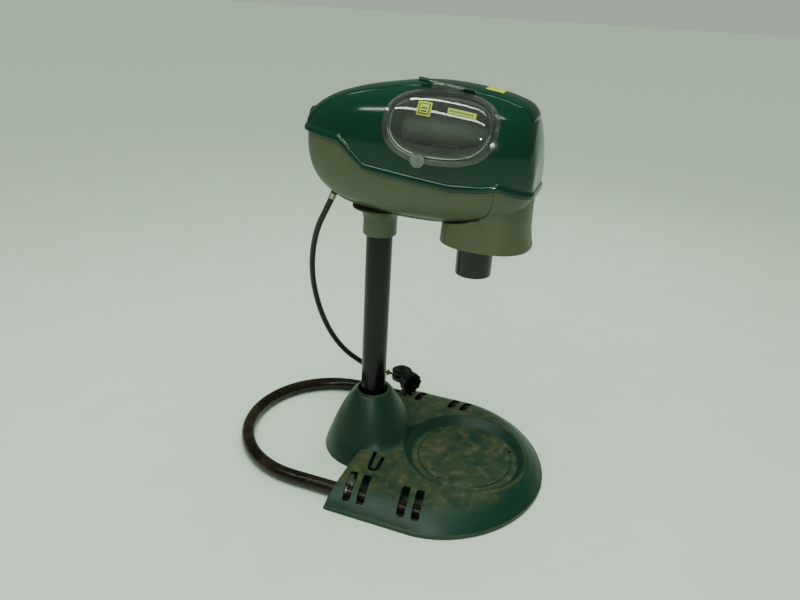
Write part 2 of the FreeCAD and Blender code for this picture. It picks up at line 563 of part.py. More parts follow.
def net_parts():
    """The catch net between a square frame at the fan and a small one in front."""
    x0, half = NET_X0, SHROUD_R
    frame = box(x0, x0 + 7, -half, half, FAN_Z - half, FAN_Z + half)
    frame = frame.cut(cyl(SHROUD_R - 5, 20, V(x0 - 5, 0, FAN_Z), X))
    end = box(222, 226, -34, 34, 722, 790).cut(box(221, 228, -30, 30, 726, 786))
    rails = [box(x0 + 6, 223, y - 2, y + 2, 717, 721) for y in (-30, 30)]
    posts = [box(216, 224, y - 2, y + 2, ON_SHELF + 26.2, 722) for y in (-32, 32)]
    save_head("net_frame", fuse([frame, end] + rails + [box(221, 225, -33, 33, 716, 723)] + posts))
    save_head("catch_net", sack(0).cut(sack(NET_T)))


def electric_parts():
    board = box(-118, -48, -36, 36, ON_SHELF + 6, ON_SHELF + 7.6)
    chips = [box(-100, -84, -10, 6, ON_SHELF + 7.5, ON_SHELF + 10),
             box(-74, -62, -24, -8, ON_SHELF + 7.5, ON_SHELF + 16)]
    save_head("control_board", fuse([board] + chips))
    standoffs = [ring(3, 1.2, 5.9, V(x, y, ON_SHELF)) for x in (-112, -54) for y in (-30, 30)]
    save_head("board_standoffs", Part.makeCompound(standoffs))
    sx, sz = SWITCH_X, SWITCH_Z
    bezel = box(sx - 17, sx + 17, 60, 120, sz - 12, sz + 12).common(form(COVER_OUT - GAP - 2))
    bezel = bezel.cut(form(COVER_OUT - GAP))
    body = box(sx - 14, sx + 14, 78, 110, sz - 9, sz + 9).common(form(COVER_OUT - GAP - 1))
    hollow = box(sx - 12, sx + 12, 84, 130, sz - 6.5, sz + 6.5)
    save_head("switch_body", bezel.fuse(body).cut([hollow, cyl(1.2 + RUN, 18, V(sx, SWITCH_PIN_Y, sz - 9), Z)]))
    profile = [V(-10, -2.5, 0), V(10, -2.5, 0), V(10, 8.5, 0), V(0, 6.5, 0), V(-10, 8.5, 0), V(-10, -2.5, 0)]
    rocker = Part.Face(Part.makePolygon(profile)).extrude(V(0, 0, 12)).translated(V(sx, SWITCH_PIN_Y, sz - 6))
    save_head("power_switch", rocker.fuse(cyl(1.2, 16, V(sx, SWITCH_PIN_Y, sz - 8), Z)))
    collar = ring(9.5, 6, 60, V(JACK_X, 70, sz), Y).common(form(COVER_OUT - 3.5)).cut(form(COVER_OUT - GAP))
    jack = cyl(7, 40, V(JACK_X, 82, sz), Y).common(form(COVER_OUT - 3.5)).fuse(collar)
    pin = cyl(0.9, 14, V(JACK_X, 90, sz), Y)
    save_head("power_inlet", jack.cut(cyl(2.8, 60, V(JACK_X, 92, sz), Y)).fuse(pin))


# ---------------------------------------------------------------- gas hose and regulator
def hose_wire(points):
    """Straight runs joined by tangent arcs; returns the wire and the arcs' radii."""
    edges, radii, start = [], [], points[0]
    for a, b, c in zip(points, points[1:], points[2:]):
        u, v = (a - b).normalize(), (c - b).normalize()
        turn = math.pi - u.getAngle(v)
        cut = 0.45 * min((b - a).Length, (c - b).Length)
        radii.append(cut / math.tan(turn / 2))
        p, q = b + u * cut, b + v * cut
        middle, r = (u + v).normalize(), radii[-1]
        centre = b + middle * math.hypot(r, cut)
        edges += [Part.LineSegment(start, p).toShape(), Part.Arc(p, centre - middle * r, q).toShape()]
        start = q
    edges.append(Part.LineSegment(start, points[-1]).toShape())
    return Part.Wire(edges), radii


def gas_parts():
    wire, radii = hose_wire(HOSE)
    first = (HOSE[1] - HOSE[0]).normalize()
    tube = wire.makePipeShell([Part.Wire(Part.Circle(HOSE[0], first, HOSE_R).toShape())], True, False, 2)
    print("hose radii", [round(r) for r in radii], "length", round(wire.Length), "volume ratio",
          round(tube.Volume / (math.pi * HOSE_R ** 2 * wire.Length), 4))
    save("gas_hose", tube)
    # crimped ferrules and the regulator's nipple
    end = HOSE[-1]
    last = (HOSE[-1] - HOSE[-2]).normalize()
    sleeves = [ring(HOSE_R + 1.2, HOSE_R + 0.15, 15, HOSE[0] + first * 0.3, first),
               ring(HOSE_R + 1.2, HOSE_R + 0.15, 15, end - last * 15.2, last)]
    save("hose_ferrules", Part.makeCompound(sleeves))
    save("regulator_nipple", fuse([cyl(3.6, 20, end + last * 0.3, last), cyl(8, 6, end + last * 3, last)]).cut(
        cyl(REG_R + 0.4, 60, REG - Z * 30)))
    low = cyl(REG_R, REG_H / 2, REG - Z * (REG_H / 2)).fuse(cyl(13, REG_R, REG, NUT_D)).fuse(
        cyl(11, REG_R + 1, REG, -NUT_D.cross(Z)).common(cyl(REG_R + 4, 60, REG - Z * 30)))
    low = low.fuse(cyl(10, 4, REG - Z * (REG_H / 2 + 4))).cut(cyl(REG_R + 9, 30, REG + Z * REG_H / 2))
    save("regulator_body", fuse([low]).cut(cyl(REG_R - 3, 30, REG + Z * 1)))
    lid = cyl(REG_R, 3, REG + Z * (REG_H / 2 + 0.1)).fuse(cyl(REG_R - 7, 8, REG + Z * REG_H / 2)).fuse(
        cyl(6, 14, REG + Z * REG_H / 2)).cut(cyl(2.5, 30, REG + Z * (REG_H / 2 + 10)))
    save("regulator_lid", fuse([lid.cut(cyl(REG_R - 3, 2, REG + Z * REG_H / 2 - Z))]))
    root = REG + NUT_D * (REG_R + 0.2)
    stem = fuse([cyl(6, 35, root, NUT_D), cyl(9.5, 3, root, NUT_D)])
    save("inlet_stem", stem.cut(cyl(2.5, 60, REG + NUT_D * 20, NUT_D)))
    face = REG + NUT_D * (REG_R + 3.5)
    wheel = cyl(NUT_R - 2.5, NUT_L, face, NUT_D)
    side = NUT_D.cross(Z)
    lobes = [cyl(5.2, NUT_L, face + side * (NUT_R - 5.2) * math.cos(a) + Z * (NUT_R - 5.2) * math.sin(a), NUT_D)
             for a in (2 * math.pi * i / 10 for i in range(10))]
    bores = [cyl(6 + RUN, 40, face - NUT_D * 4, NUT_D), cyl(17, 18, face + NUT_D * 8, NUT_D)]
    save("coupling_nut", fuse([wheel] + lobes).cut(bores))


if __name__ == "__main__":
    os.makedirs("parts", exist_ok=True)
    base_parts()
    hoop_parts()
    post_parts()
    shell_parts()
    shelf_parts()
    burner_parts()
    fan_parts()
    net_parts()
    electric_parts()
    gas_parts()
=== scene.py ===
"""Propane mosquito trap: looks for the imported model, in metres, +Z up, the post on the origin."""
import math

import bpy
import numpy as np
from mathutils import Matrix, Vector


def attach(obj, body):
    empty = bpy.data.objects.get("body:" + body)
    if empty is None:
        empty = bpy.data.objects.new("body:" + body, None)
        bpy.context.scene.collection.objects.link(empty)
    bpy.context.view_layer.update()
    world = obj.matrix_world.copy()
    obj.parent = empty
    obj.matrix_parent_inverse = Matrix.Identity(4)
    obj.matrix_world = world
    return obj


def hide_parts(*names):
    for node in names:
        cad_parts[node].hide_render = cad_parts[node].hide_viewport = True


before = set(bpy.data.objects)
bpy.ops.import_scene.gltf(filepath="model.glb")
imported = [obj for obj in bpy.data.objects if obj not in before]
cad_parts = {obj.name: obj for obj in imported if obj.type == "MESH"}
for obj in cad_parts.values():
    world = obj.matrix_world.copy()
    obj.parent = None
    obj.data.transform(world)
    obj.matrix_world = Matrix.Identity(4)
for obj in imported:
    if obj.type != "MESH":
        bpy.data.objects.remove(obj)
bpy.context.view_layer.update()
scene = bpy.context.scene
MM = 0.001

# ---------------------------------------------------------------- camera
eye = Vector((0.4843, -1.2691, 0.9998))
ahead = Vector((-0.29181, 0.86262, -0.41309)).normalized()
right = ahead.cross(Vector((0, 0, 1))).normalized()
up = right.cross(ahead)
roll = 0.0581
right, up = math.cos(roll) * right + math.sin(roll) * up, math.cos(roll) * up - math.sin(roll) * right
camera = bpy.data.objects.new("camera", bpy.data.cameras.new("camera"))
camera.data.lens, camera.data.sensor_width = 29.75, 36.0
camera.matrix_world = Matrix((right, up, -ahead)).transposed().to_4x4()
camera.matrix_world.translation = eye
scene.collection.objects.link(camera)
scene.camera = camera


# ---------------------------------------------------------------- gas hose
def rubber_hose(name, route, radius):
    """Round hose on a NURBS spline of order 3; the route gives its control points, and it ends on the outer two."""
    curve = bpy.data.curves.new(name, "CURVE")
    curve.dimensions = "3D"
    curve.bevel_depth, curve.bevel_resolution = radius, 6
    curve.use_fill_caps = True
    line = curve.splines.new("NURBS")
    line.points.add(len(route) - 1)
    line.points.foreach_set("co", np.c_[route, np.ones(len(route))].ravel())
    line.order_u, line.resolution_u = 3, 12
    line.use_endpoint_u = True
    obj = bpy.data.objects.new(name, curve)
    scene.collection.objects.link(obj)
    return obj


HOSE = np.array([(-111.4, 7.6, 612.5), (-134, 16, 571), (-162, 28, 521), (-183, 45, 461), (-196, 65, 394),
                 (-199, 88, 325), (-191, 112, 253), (-172, 138, 185), (-143, 160, 135), (-109, 178, 104),
                 (-72, 185, 84), (-39.5, 196.0, 77.4)]) * MM
hose = rubber_hose("gas_hose_rubber", HOSE, 7.0 * MM)


# ---------------------------------------------------------------- mesh tools
def add_object(name, verts, faces, smooth=True):
    """Mesh object at the origin from points and faces."""
    mesh = bpy.data.meshes.new(name)
    mesh.from_pydata(np.asarray(verts).reshape(-1, 3).tolist(), [], np.asarray(faces).tolist()
                     if not isinstance(faces, list) else faces)
    mesh.update()
    mesh.polygons.foreach_set("use_smooth", np.full(len(mesh.polygons), smooth))
    obj = bpy.data.objects.new(name, mesh)
    scene.collection.objects.link(obj)
    return obj


def grid_faces(n, m, around=False, along=False):
    """Quads of an n by m grid of points; around joins the last column to the first, along the last row to the
    first."""
    i, j = np.meshgrid(np.arange(n if along else n - 1), np.arange(m if around else m - 1), indexing="ij")
    i2, j2 = (i + 1) % n, (j + 1) % m
    return np.stack([i * m + j, i * m + j2, i2 * m + j2, i2 * m + j], -1).reshape(-1, 4)


def modify(obj, kind, **settings):
    """Adds one modifier with its settings."""
    mod = obj.modifiers.new(kind.lower(), kind)
    for key, value in settings.items():
        setattr(mod, key, value)
    return mod


def bake_modifiers(obj):
    """The object's mesh becomes what its modifiers make of it."""
    deps = bpy.context.evaluated_depsgraph_get()
    mesh = bpy.data.meshes.new_from_object(obj.evaluated_get(deps), depsgraph=deps)
    obj.modifiers.clear()
    obj.data = mesh
    return obj


def cut_away(obj, cutters):
    """Each closed cutter is taken out of the object, then removed."""
    for cutter in cutters:
        modify(obj, "BOOLEAN", operation="DIFFERENCE", solver="MANIFOLD", object=cutter)
    bake_modifiers(obj)
    for cutter in cutters:
        bpy.data.objects.remove(cutter, do_unlink=True)
    return obj


def by_angle(obj, degrees=35):
    """Smooth shading that breaks at edges sharper than the angle."""
    mesh = obj.data
    mesh.polygons.foreach_set("use_smooth", np.ones(len(mesh.polygons), bool))
    mesh.set_sharp_from_angle(angle=math.radians(degrees))
    return obj


def prism(name, outline, depth):
    """A closed outline (n, 3) carried along the vector depth, both ends capped."""
    n = len(outline)
    points = np.concatenate([outline, outline + np.asarray(depth)])
    faces = [[i, (i + 1) % n, n + (i + 1) % n, n + i] for i in range(n)]
    faces += [list(range(n))[::-1], list(range(n, 2 * n))]
    obj = add_object(name, points, faces, False)
    recalculate(obj)
    return obj


def recalculate(obj):
    """Faces turned to point outwards after doubles are merged."""
    import bmesh
    work = bmesh.new()
    work.from_mesh(obj.data)
    bmesh.ops.remove_doubles(work, verts=work.verts, dist=1e-6)
    bmesh.ops.recalc_face_normals(work, faces=work.faces)
    work.to_mesh(obj.data)
    work.free()
    return obj


def turned(name, centre, axis, profile, steps=64):
    """Solid of revolution: profile rows are (distance along axis, radius) and the axis starts at centre."""
    axis = np.asarray(axis, float) / np.linalg.norm(axis)
    side = np.cross(axis, (0, 0, 1) if abs(axis[2]) < 0.9 else (1, 0, 0))
    side /= np.linalg.norm(side)
    other = np.cross(axis, side)
    profile = np.asarray(profile, float)
    a = np.linspace(0, 2 * np.pi, steps, endpoint=False)
    rim = np.cos(a)[None, :, None] * side + np.sin(a)[None, :, None] * other
    points = np.asarray(centre) + profile[:, 0, None, None] * axis + profile[:, 1, None, None] * rim
    obj = add_object(name, points, grid_faces(len(profile), steps, around=True))
    recalculate(obj)
    return by_angle(obj, 30)


# ---------------------------------------------------------------- the head's form
STATIONS = np.array([(-157, 30, 774, 704), (-152, 44, 786, 684), (-140, 56, 798, 657), (-118, 68, 813, 634),
                     (-85, 81, 828, 617), (-34, 94, 843, 606), (29, 104, 855, 599), (80, 110, 862, 597),
                     (130, 112, 864, 597), (179, 111, 861, 598), (227, 107, 855, 602), (262, 99, 847, 612),
                     (290, 87, 836, 626), (306, 76, 814, 642), (316, 64, 776, 660), (320, 54, 742, 676)]) * MM
SPLIT = np.array([(-175, 752), (-61, 743), (0, 696), (75, 690), (175, 681), (207, 683), (235, 685), (263, 691),
                  (340, 667)]) * MM


def through_stations():
    """Catmull-Rom curve through the stations, sampled finely: x, half width, top, bottom."""
    p = np.vstack([2 * STATIONS[0] - STATIONS[1], STATIONS, 2 * STATIONS[-1] - STATIONS[-2]])
    t = np.linspace(0, 1, 12, endpoint=False)[None, :, None]
    a, b, c, d = p[:-3, None], p[1:-2, None], p[2:-1, None], p[3:, None]
    rows = 0.5 * (2 * b + (c - a) * t + (2 * a - 5 * b + 4 * c - d) * t ** 2 + (3 * b - a - 3 * c + d) * t ** 3)
    rows = np.vstack([rows.reshape(-1, 4), STATIONS[-1]])
    rows[:, 0] = np.maximum.accumulate(rows[:, 0])
    return rows


FORM = through_stations()
HEART = np.array([0.085, 0.0, 0.722])


def outside(p, inset=0.0):
    """Above 0 outside the head's form: superellipses across X, power 2.4 above the widest line and 2.8 below."""
    x, y, z = p[..., 0], p[..., 1], p[..., 2]
    middle, half = (STATIONS[0, 0] + STATIONS[-1, 0]) / 2, (STATIONS[-1, 0] - STATIONS[0, 0]) / 2
    reach = half - inset
    u = middle + (x - middle) * half / reach
    w, top, low = (np.interp(u, FORM[:, 0], FORM[:, k]) for k in (1, 2, 3))
    zc = low + (top - low) * 0.47
    high = z > zc
    power = np.where(high, 2.4, 2.8)
    h = np.where(high, top - zc, zc - low) - inset
    value = (np.abs(y) / (w - inset)) ** power + (np.abs(z - zc) / h) ** power - 1
    return np.maximum(value, (np.abs(x - middle) - reach) * 200)


def on_form(start, way, inset=0.0, far=0.5, steps=34):
    """Where rays from inside the form leave it, by halving."""
    lo, hi = np.zeros(start.shape[:-1]), np.full(start.shape[:-1], far)
    for _ in range(steps):
        mid = (lo + hi) / 2
        out = outside(start + mid[..., None] * way, inset) > 0
        hi, lo = np.where(out, mid, hi), np.where(out, lo, mid)
    return start + lo[..., None] * way


def skin(turn, rise, inset=0.0):
    """Point of the form in the direction of the two angles from its heart; stretched to suit the long head."""
    way = np.stack([2.0 * np.cos(rise) * np.cos(turn), np.cos(rise) * np.sin(turn), np.sin(rise)], -1)
    return on_form(np.broadcast_to(HEART, way.shape), way, inset)


def split_rise(turn, lift, inset):
    """Angle at which each direction crosses the cover's lower edge, raised by lift."""
    lo, hi = np.full(turn.shape, -1.2), np.full(turn.shape, 1.4)
    for _ in range(26):
        mid = (lo + hi) / 2
        p = skin(turn, mid, inset)
        high = p[..., 2] > np.interp(p[..., 0], SPLIT[:, 0], SPLIT[:, 1]) + lift
        hi, lo = np.where(high, mid, hi), np.where(high, lo, mid)
    return lo


TURNS = np.linspace(0, 2 * np.pi, 380, endpoint=False)
DOOR_TILT = math.radians(30)
DOOR_D = np.array([0, -math.cos(DOOR_TILT), math.sin(DOOR_TILT)])
DOOR_U = np.array([0, math.sin(DOOR_TILT), math.cos(DOOR_TILT)])
DOOR_O = np.array([142, -100, 800]) * MM
DOOR_A, DOOR_B, DOOR_POWER = 111 * MM, 71 * MM, 2.5


def spow(value, power):
    """Power that keeps the sign, for superellipses."""
    return np.sign(value) * np.abs(value) ** power


def door_outline(grow, n=72):
    """Superellipse in the door's tilted plane."""
    a = np.linspace(0, 2 * np.pi, n, endpoint=False)[:, None]
    return DOOR_O + np.array([1, 0, 0]) * (DOOR_A + grow) * spow(np.cos(a), 2 / DOOR_POWER) + \
        DOOR_U * (DOOR_B + grow) * spow(np.sin(a), 2 / DOOR_POWER)


def moulded_cover():
    """Rows climb from the lower edge to the top: the bead stands 4 mm proud for 14 mm, then the plain form."""
    bead = [(0.0, -2.6), (0.0, 2.4), (0.5, 3.4), (1.6, 4.0), (4.5, 4.0), (7.5, 3.8), (10, 3.0), (12, 1.9),
            (13.4, 0.8), (14.2, 0.15)]
    rows = [skin(TURNS, split_rise(TURNS, lift * MM, -proud * MM), -proud * MM) for lift, proud in bead]
    low = split_rise(TURNS, 15.5 * MM, 0.0)
    climb = 1 - (1 - np.linspace(0, 1, 110)) ** 1.15
    for k in climb[:-1]:
        rows.append(skin(TURNS, low + (math.pi / 2 - low) * k))
    points = np.stack(rows)
    n, m = points.shape[:2]
    apex = skin(np.zeros(1), np.full(1, math.pi / 2))
    verts = np.vstack([points.reshape(-1, 3), apex])
    faces = grid_faces(n, m, around=True).tolist()
    faces += [[(n - 1) * m + i, (n - 1) * m + (i + 1) % m, n * m] for i in range(m)]
    obj = add_object("cover_moulding", verts, faces)
    recalculate(obj)
    modify(obj, "SOLIDIFY", thickness=2.6 * MM, offset=-1.0)
    bake_modifiers(obj)
    ring = np.linspace(0, 2 * np.pi, 40, endpoint=False)
    hole = np.stack([113 + 7 * np.cos(ring), np.full(40, -90.0), 734 + 7 * np.sin(ring)], -1) * MM
    cut_away(obj, [prism("opening", door_outline(-8 * MM) - DOOR_D * 0.06, DOOR_D * 0.12),
                   prism("latch_hole", hole, (0, -0.03, 0))])
    return by_angle(obj, 32)


def moulded_bowl():
    """The form taken in 2.5 mm, from just under the cover's edge down to its lowest point."""
    high = split_rise(TURNS, -0.3 * MM, 2.5 * MM)
    rows = [skin(TURNS, high - (high + math.pi / 2) * k, 2.5 * MM) for k in np.linspace(0, 1, 80)[:-1]]
    points = np.stack(rows)
    n, m = points.shape[:2]
    nadir = skin(np.zeros(1), np.full(1, -math.pi / 2), 2.5 * MM)
    verts = np.vstack([points.reshape(-1, 3), nadir])
    faces = grid_faces(n, m, around=True).tolist()
    faces += [[(n - 1) * m + i, (n - 1) * m + (i + 1) % m, n * m] for i in range(m)]
    obj = add_object("bowl_moulding", verts, faces)
    recalculate(obj)
    modify(obj, "SOLIDIFY", thickness=3 * MM, offset=-1.0)
    bake_modifiers(obj)
    ring = np.linspace(0, 2 * np.pi, 64, endpoint=False)
    cutters = []
    for name, x, radius in (("post_hole", 0.0, 30.0), ("snout_hole", 226.0, 64.0)):
        circle = np.stack([x + radius * np.cos(ring), radius * np.sin(ring), np.full(64, 570.0)], -1) * MM
        cutters.append(prism(name, circle, (0, 0, 0.06)))
    square = np.array([(15.7, 60, 645.7), (44.3, 60, 645.7), (44.3, 60, 664.3), (15.7, 60, 664.3)]) * MM
    cutters.append(prism("switch_hole", square, (0, 0.08, 0)))
    slot = np.array([(-190, -33, 681), (-190, -26, 681), (-190, -26, 724), (-190, -33, 724)]) * MM
    cutters.append(prism("rear_slot", slot, (0.06, 0, 0)))
    cut_away(obj, cutters)
    return by_angle(obj, 32)


def clear_door():
    """Rays along the door's outward way meet the form; the profile adds flange, upright wall and low dome."""
    rho = np.array([1.0, 1.0, 0.985, 0.915, 0.9, 0.892, 0.885, 0.868, 0.835, 0.78, 0.69, 0.57, 0.43, 0.28, 0.14,
                    0.02])
    proud = np.array([0.3, 1.9, 2.5, 2.5, 3.0, 4.6, 7.0, 9.6, 11.4, 12.4, 12.8, 12.9, 13.0, 13.0, 13.0,
                      13.0]) * MM
    a = np.linspace(0, 2 * np.pi, 160, endpoint=False)
    across = DOOR_A * spow(np.cos(a), 2 / DOOR_POWER)[None, :, None] * np.array([1, 0, 0])
    upward = DOOR_B * spow(np.sin(a), 2 / DOOR_POWER)[None, :, None] * DOOR_U
    flat = DOOR_O + rho[:, None, None] * (across + upward)
    way = np.broadcast_to(DOOR_D, flat.shape)
    base = on_form(flat - DOOR_D * 0.055, way, 0.0, far=0.14)
    points = base + proud[:, None, None] * DOOR_D
    n, m = points.shape[:2]
    verts = np.vstack([points.reshape(-1, 3), points[-1].mean(0)[None]])
    faces = grid_faces(n, m, around=True).tolist()
    faces += [[(n - 1) * m + i, (n - 1) * m + (i + 1) % m, n * m] for i in range(m)]
    obj = add_object("door_moulding", verts, faces)
    recalculate(obj)
    modify(obj, "SOLIDIFY", thickness=1.8 * MM, offset=-1.0)
    bake_modifiers(obj)
    return by_angle(obj, 50)


def join(objs, name):
    """One object out of several."""
    for o in bpy.context.selected_objects:
        o.select_set(False)
    for o in objs:
        o.select_set(True)
    bpy.context.view_layer.objects.active = objs[0]
    bpy.ops.object.join()
    objs[0].name = name
    return objs[0]


def moulded_snout():
    """Rows climb from the open rim to the cover's edge: in front of the bowl's end the wall follows the form 1 mm
    in, elsewhere it is the snout's own superelliptic plan, which widens to the rim."""
    turns = np.linspace(-np.pi, np.pi, 400, endpoint=False)
    lift = np.concatenate([[0, 0.004, 0.012], np.linspace(0.03, 1, 56)])[:, None]
    way = np.broadcast_to(np.stack([np.cos(turns), np.sin(turns), 0 * turns], -1), (len(lift), 400, 3))
    front = 1 / (1 + np.exp(-(np.cos(turns) + 0.02) * 30))
    top = 640 + front * 36
    for _ in range(3):
        start = np.stack([np.full(400, 0.232), 0 * turns, top * MM], -1)
        x = on_form(start, way[0], 1.0 * MM)[:, 0] / MM
        top = 640 + front * (np.interp(x, SPLIT[:, 0] / MM, SPLIT[:, 1] / MM) - 0.4 - 640)
    z = 563 + (top[None] - 563) * lift
    start = np.stack([np.full(z.shape, 0.232), 0 * z, z * MM], -1)
    hit = on_form(start, way, 1.0 * MM)
    reach = np.where(outside(start, 1.0 * MM) > 0, 0, np.linalg.norm(hit - start, axis=-1) / MM)
    x0, x1, half = (np.interp(z, [563, 575, 600, 640, 680], row) for row in
                    ((140, 140.8, 142, 146, 150), (325, 322, 318.4, 317, 318), (88, 87, 85.5, 82, 76)))
    lo, hi = np.zeros(z.shape), np.full(z.shape, 150.0)
    for _ in range(28):
        mid = (lo + hi) / 2
        px, py = 232 + mid * way[..., 0], mid * way[..., 1]
        inside = (np.abs((px - (x0 + x1) / 2) / ((x1 - x0) / 2)) ** 2.5 + np.abs(py / half) ** 2.5) < 1
        lo, hi = np.where(inside, mid, lo), np.where(inside, hi, mid)
    seam = np.interp(z, [600, 614, 620, 628, 639, 655, 674], [150, 196, 212, 230, 245, 253, 256])
    panel = hit[..., 0] / MM > seam
    tucked = np.where(reach > 0, np.maximum(reach - 6, 30), 1e3)
    radius = np.where(panel, np.maximum(lo, reach), np.minimum(lo, tucked))
    points = np.stack([232 + radius * way[..., 0], radius * way[..., 1], z], -1) * MM
    obj = add_object("snout_moulding", points, grid_faces(len(lift), 400, around=True))
    recalculate(obj)
    modify(obj, "SOLIDIFY", thickness=2.8 * MM, offset=-1.0)
    bake_modifiers(obj)
    # plate under the bowl from behind the post to the snout, and the collar that flares into it
    u = np.linspace(-1, 1, 60)
    x = 32 + 135 * u
    wide = 44 * (1 - np.abs(u) ** 3.2) ** (1 / 3.2)
    v = np.linspace(-1, 1, 30)
    start = np.stack(np.broadcast_arrays(x[:, None], wide[:, None] * v, 700.0), -1) * MM
    down = np.broadcast_to(np.array([0, 0, -1.0]), start.shape)
    under = on_form(start, down, 2.2 * MM)
    edge = np.sqrt(np.clip(1 - np.abs(v[None]) ** 6 * 0.85, 0, 1))
    edge = edge * np.sqrt(np.clip(1 - np.abs(u[:, None]) ** 8, 0.05, 1))
    low = under - np.array([0, 0, 1.0]) * (6.5 * MM * edge)[..., None]
    points = np.stack([under, low])
    n, m = len(u), len(v)
    top_faces = grid_faces(n, m)
    rim = np.concatenate([np.arange(m), np.arange(1, n) * m + m - 1, (n - 1) * m + np.arange(m - 2, -1, -1),
                          np.arange(n - 2, 0, -1) * m])
    faces = top_faces.tolist() + (top_faces[:, ::-1] + n * m).tolist()
    faces += [[a, b, b + n * m, a + n * m] for a, b in zip(rim, np.roll(rim, -1))]
    plate = add_object("neck_plate", points, [list(map(int, f)) for f in faces])
    recalculate(plate)
    collar = turned("collar", (0, 0, 0.54), (0, 0, 1),
                    np.array([(0.8, 29.4), (0, 30), (0, 35.4), (1, 36.4), (33, 36.4), (40, 37.4), (47, 40.4),
                              (52.5, 45.5), (56.5, 52), (59.5, 60), (61, 60), (61, 29.4), (0.8, 29.4)]) * MM, 72)
    ribs = []
    for turn in (math.radians(125), math.radians(-125)):
        a = np.linspace(0, 2 * np.pi, 24, endpoint=False)
        circle = np.stack([31 * math.cos(turn) + 6 * np.cos(a), 31 * math.sin(turn) + 6 * np.sin(a),
                           np.full(24, 578.0)], -1)
        ribs.append(prism("boss", circle * MM, (0, 0, 0.02)))
    whole = join([obj, plate, collar] + ribs, "snout_and_collar")
    return by_angle(whole, 36)


def patch(name, heights, sides, proud, thick=3.0):
    """Raised patch on the form: directions in the X-Z plane by angle, rows across in Y, with its edges rounded off.
    proud is its height above the form in millimetres."""
    t, y = np.meshgrid(np.asarray(heights), np.asarray(sides) * MM, indexing="ij")
    way = np.stack([np.cos(t), 0 * t, np.sin(t)], -1)
    start = np.stack([np.full(t.shape, HEART[0]), y, np.full(t.shape, HEART[2])], -1)
    n, m = t.shape
    i, j = np.meshgrid(np.linspace(-1, 1, n), np.linspace(-1, 1, m), indexing="ij")
    fade = np.clip((1 - np.abs(i)) * n / 4, 0, 1) * np.clip((1 - np.abs(j)) * m / 6, 0, 1)
    lift = (proud * np.sqrt(fade * (2 - fade)) - 0.4) * MM
    base_points = on_form(start, way)
    d = np.gradient(base_points, axis=0), np.gradient(base_points, axis=1)
    normal = np.cross(d[0], d[1])
    normal /= np.linalg.norm(normal, axis=-1)[..., None]
    normal *= np.sign((normal * way).sum(-1))[..., None]
    obj = add_object(name, base_points + normal * lift[..., None], grid_faces(n, m))
    recalculate(obj)
    if (obj.data.polygons[len(obj.data.polygons) // 2].normal @ Vector(way[n // 2, m // 2])) < 0:
        obj.data.flip_normals()
    modify(obj, "SOLIDIFY", thickness=thick * MM, offset=-1.0)
    bake_modifiers(obj)
    return by_angle(obj, 45)


# ---------------------------------------------------------------- base
SEAT_X, SEAT_Y = 240.0, -6.0
BASE_Y, BASE_HALF_W, BASE_TURN, BASE_REACH = -14.0, 258.0, 190.0, 235.0
NOSE_POWER = 1.9


def outline_gauge(x, y):
    """1 on the base's outline: a superellipse in front of BASE_TURN, straight sides behind it."""
    ahead = np.maximum(x - BASE_TURN, 0) / BASE_REACH
    return (ahead ** NOSE_POWER + (np.abs(y - BASE_Y) / BASE_HALF_W) ** NOSE_POWER) ** (1 / NOSE_POWER)


def seat_and_boss(x, y):
    """Height of the base's outside, in millimetres. Skirt: 7 + 35 (1 - (1 - t)^2.1) over 70 mm from the lip. The
    paraboloid boss joins the deck by a smooth maximum, and the seat is taken out by a smooth minimum."""
    edge = np.minimum((1 - outline_gauge(x, y)) * 250, x / 0.18)
    t = np.clip((edge - 3) / 70, 0, 1)
    deck = np.where(edge > 3, 7 + 35 * (1 - (1 - t) ** 2.1), np.interp(edge, [-100, 0, 0.3, 3], [-9, 0, 6.3, 7]))
    rho = (x / 110) ** 2 + (y / 122) ** 2
    boss = np.clip(150 * (1 - rho) / (1 - (41 / 110) ** 2), -60, 150)
    ease = np.clip((x - 8) / 50, 0, 1)
    blend = 26 * ease * ease * (3 - 2 * ease)
    soft = 0.5 * (deck + boss + np.sqrt((deck - boss) ** 2 + blend ** 2)) - 0.6 * ease
    r = np.hypot(x - SEAT_X, y - SEAT_Y)
    crest = soft + 1.7 * np.exp(-((r - 148) / 7) ** 2)
    wall = np.interp(r, [0, 107.5, 109.5, 123.5, 125.5, 128, 141, 400], [27, 27, 24.6, 24.6, 26, 28.6, 42, 700])
    dished = 0.5 * (crest + wall - np.sqrt((crest - wall) ** 2 + 4))
    soft = np.where(r < 112, wall, dished)
    return np.where(x > 3, np.maximum(soft, 0), np.where(rho < 1, np.clip(boss, 0, 150), np.minimum(deck, soft)))


def inside_base(x, y):
    """True inside the plate's outline or the boss's foot."""
    return (outline_gauge(x, y) <= 1) & (x >= 0) | ((x / 110) ** 2 + (y / 122) ** 2 <= 1)


def rounded_slot(x, y, turn, width, length, z0, depth, name):
    """Upright cutter of a rounded rectangle turned about Z."""
    a = np.linspace(0, 2 * np.pi, 32, endpoint=False) + 0.05
    u = (width / 2) * spow(np.cos(a), 0.35)
    v = (length / 2) * spow(np.sin(a), 0.2)
    c, t = math.cos(turn), math.sin(turn)
    outline = np.stack([x + c * u - t * v, y + t * u + c * v, np.full(32, z0)], -1) * MM
    return prism(name, outline, (0, 0, depth * MM))


def band(points, width):
    """Outline of a flat stroke of that width along a line of points."""
    way = np.gradient(points, axis=0)
    side = np.stack([-way[:, 1], way[:, 0]], -1) / np.linalg.norm(way, axis=1)[:, None]
    return np.vstack([points + side * width / 2, (points - side * width / 2)[::-1]])


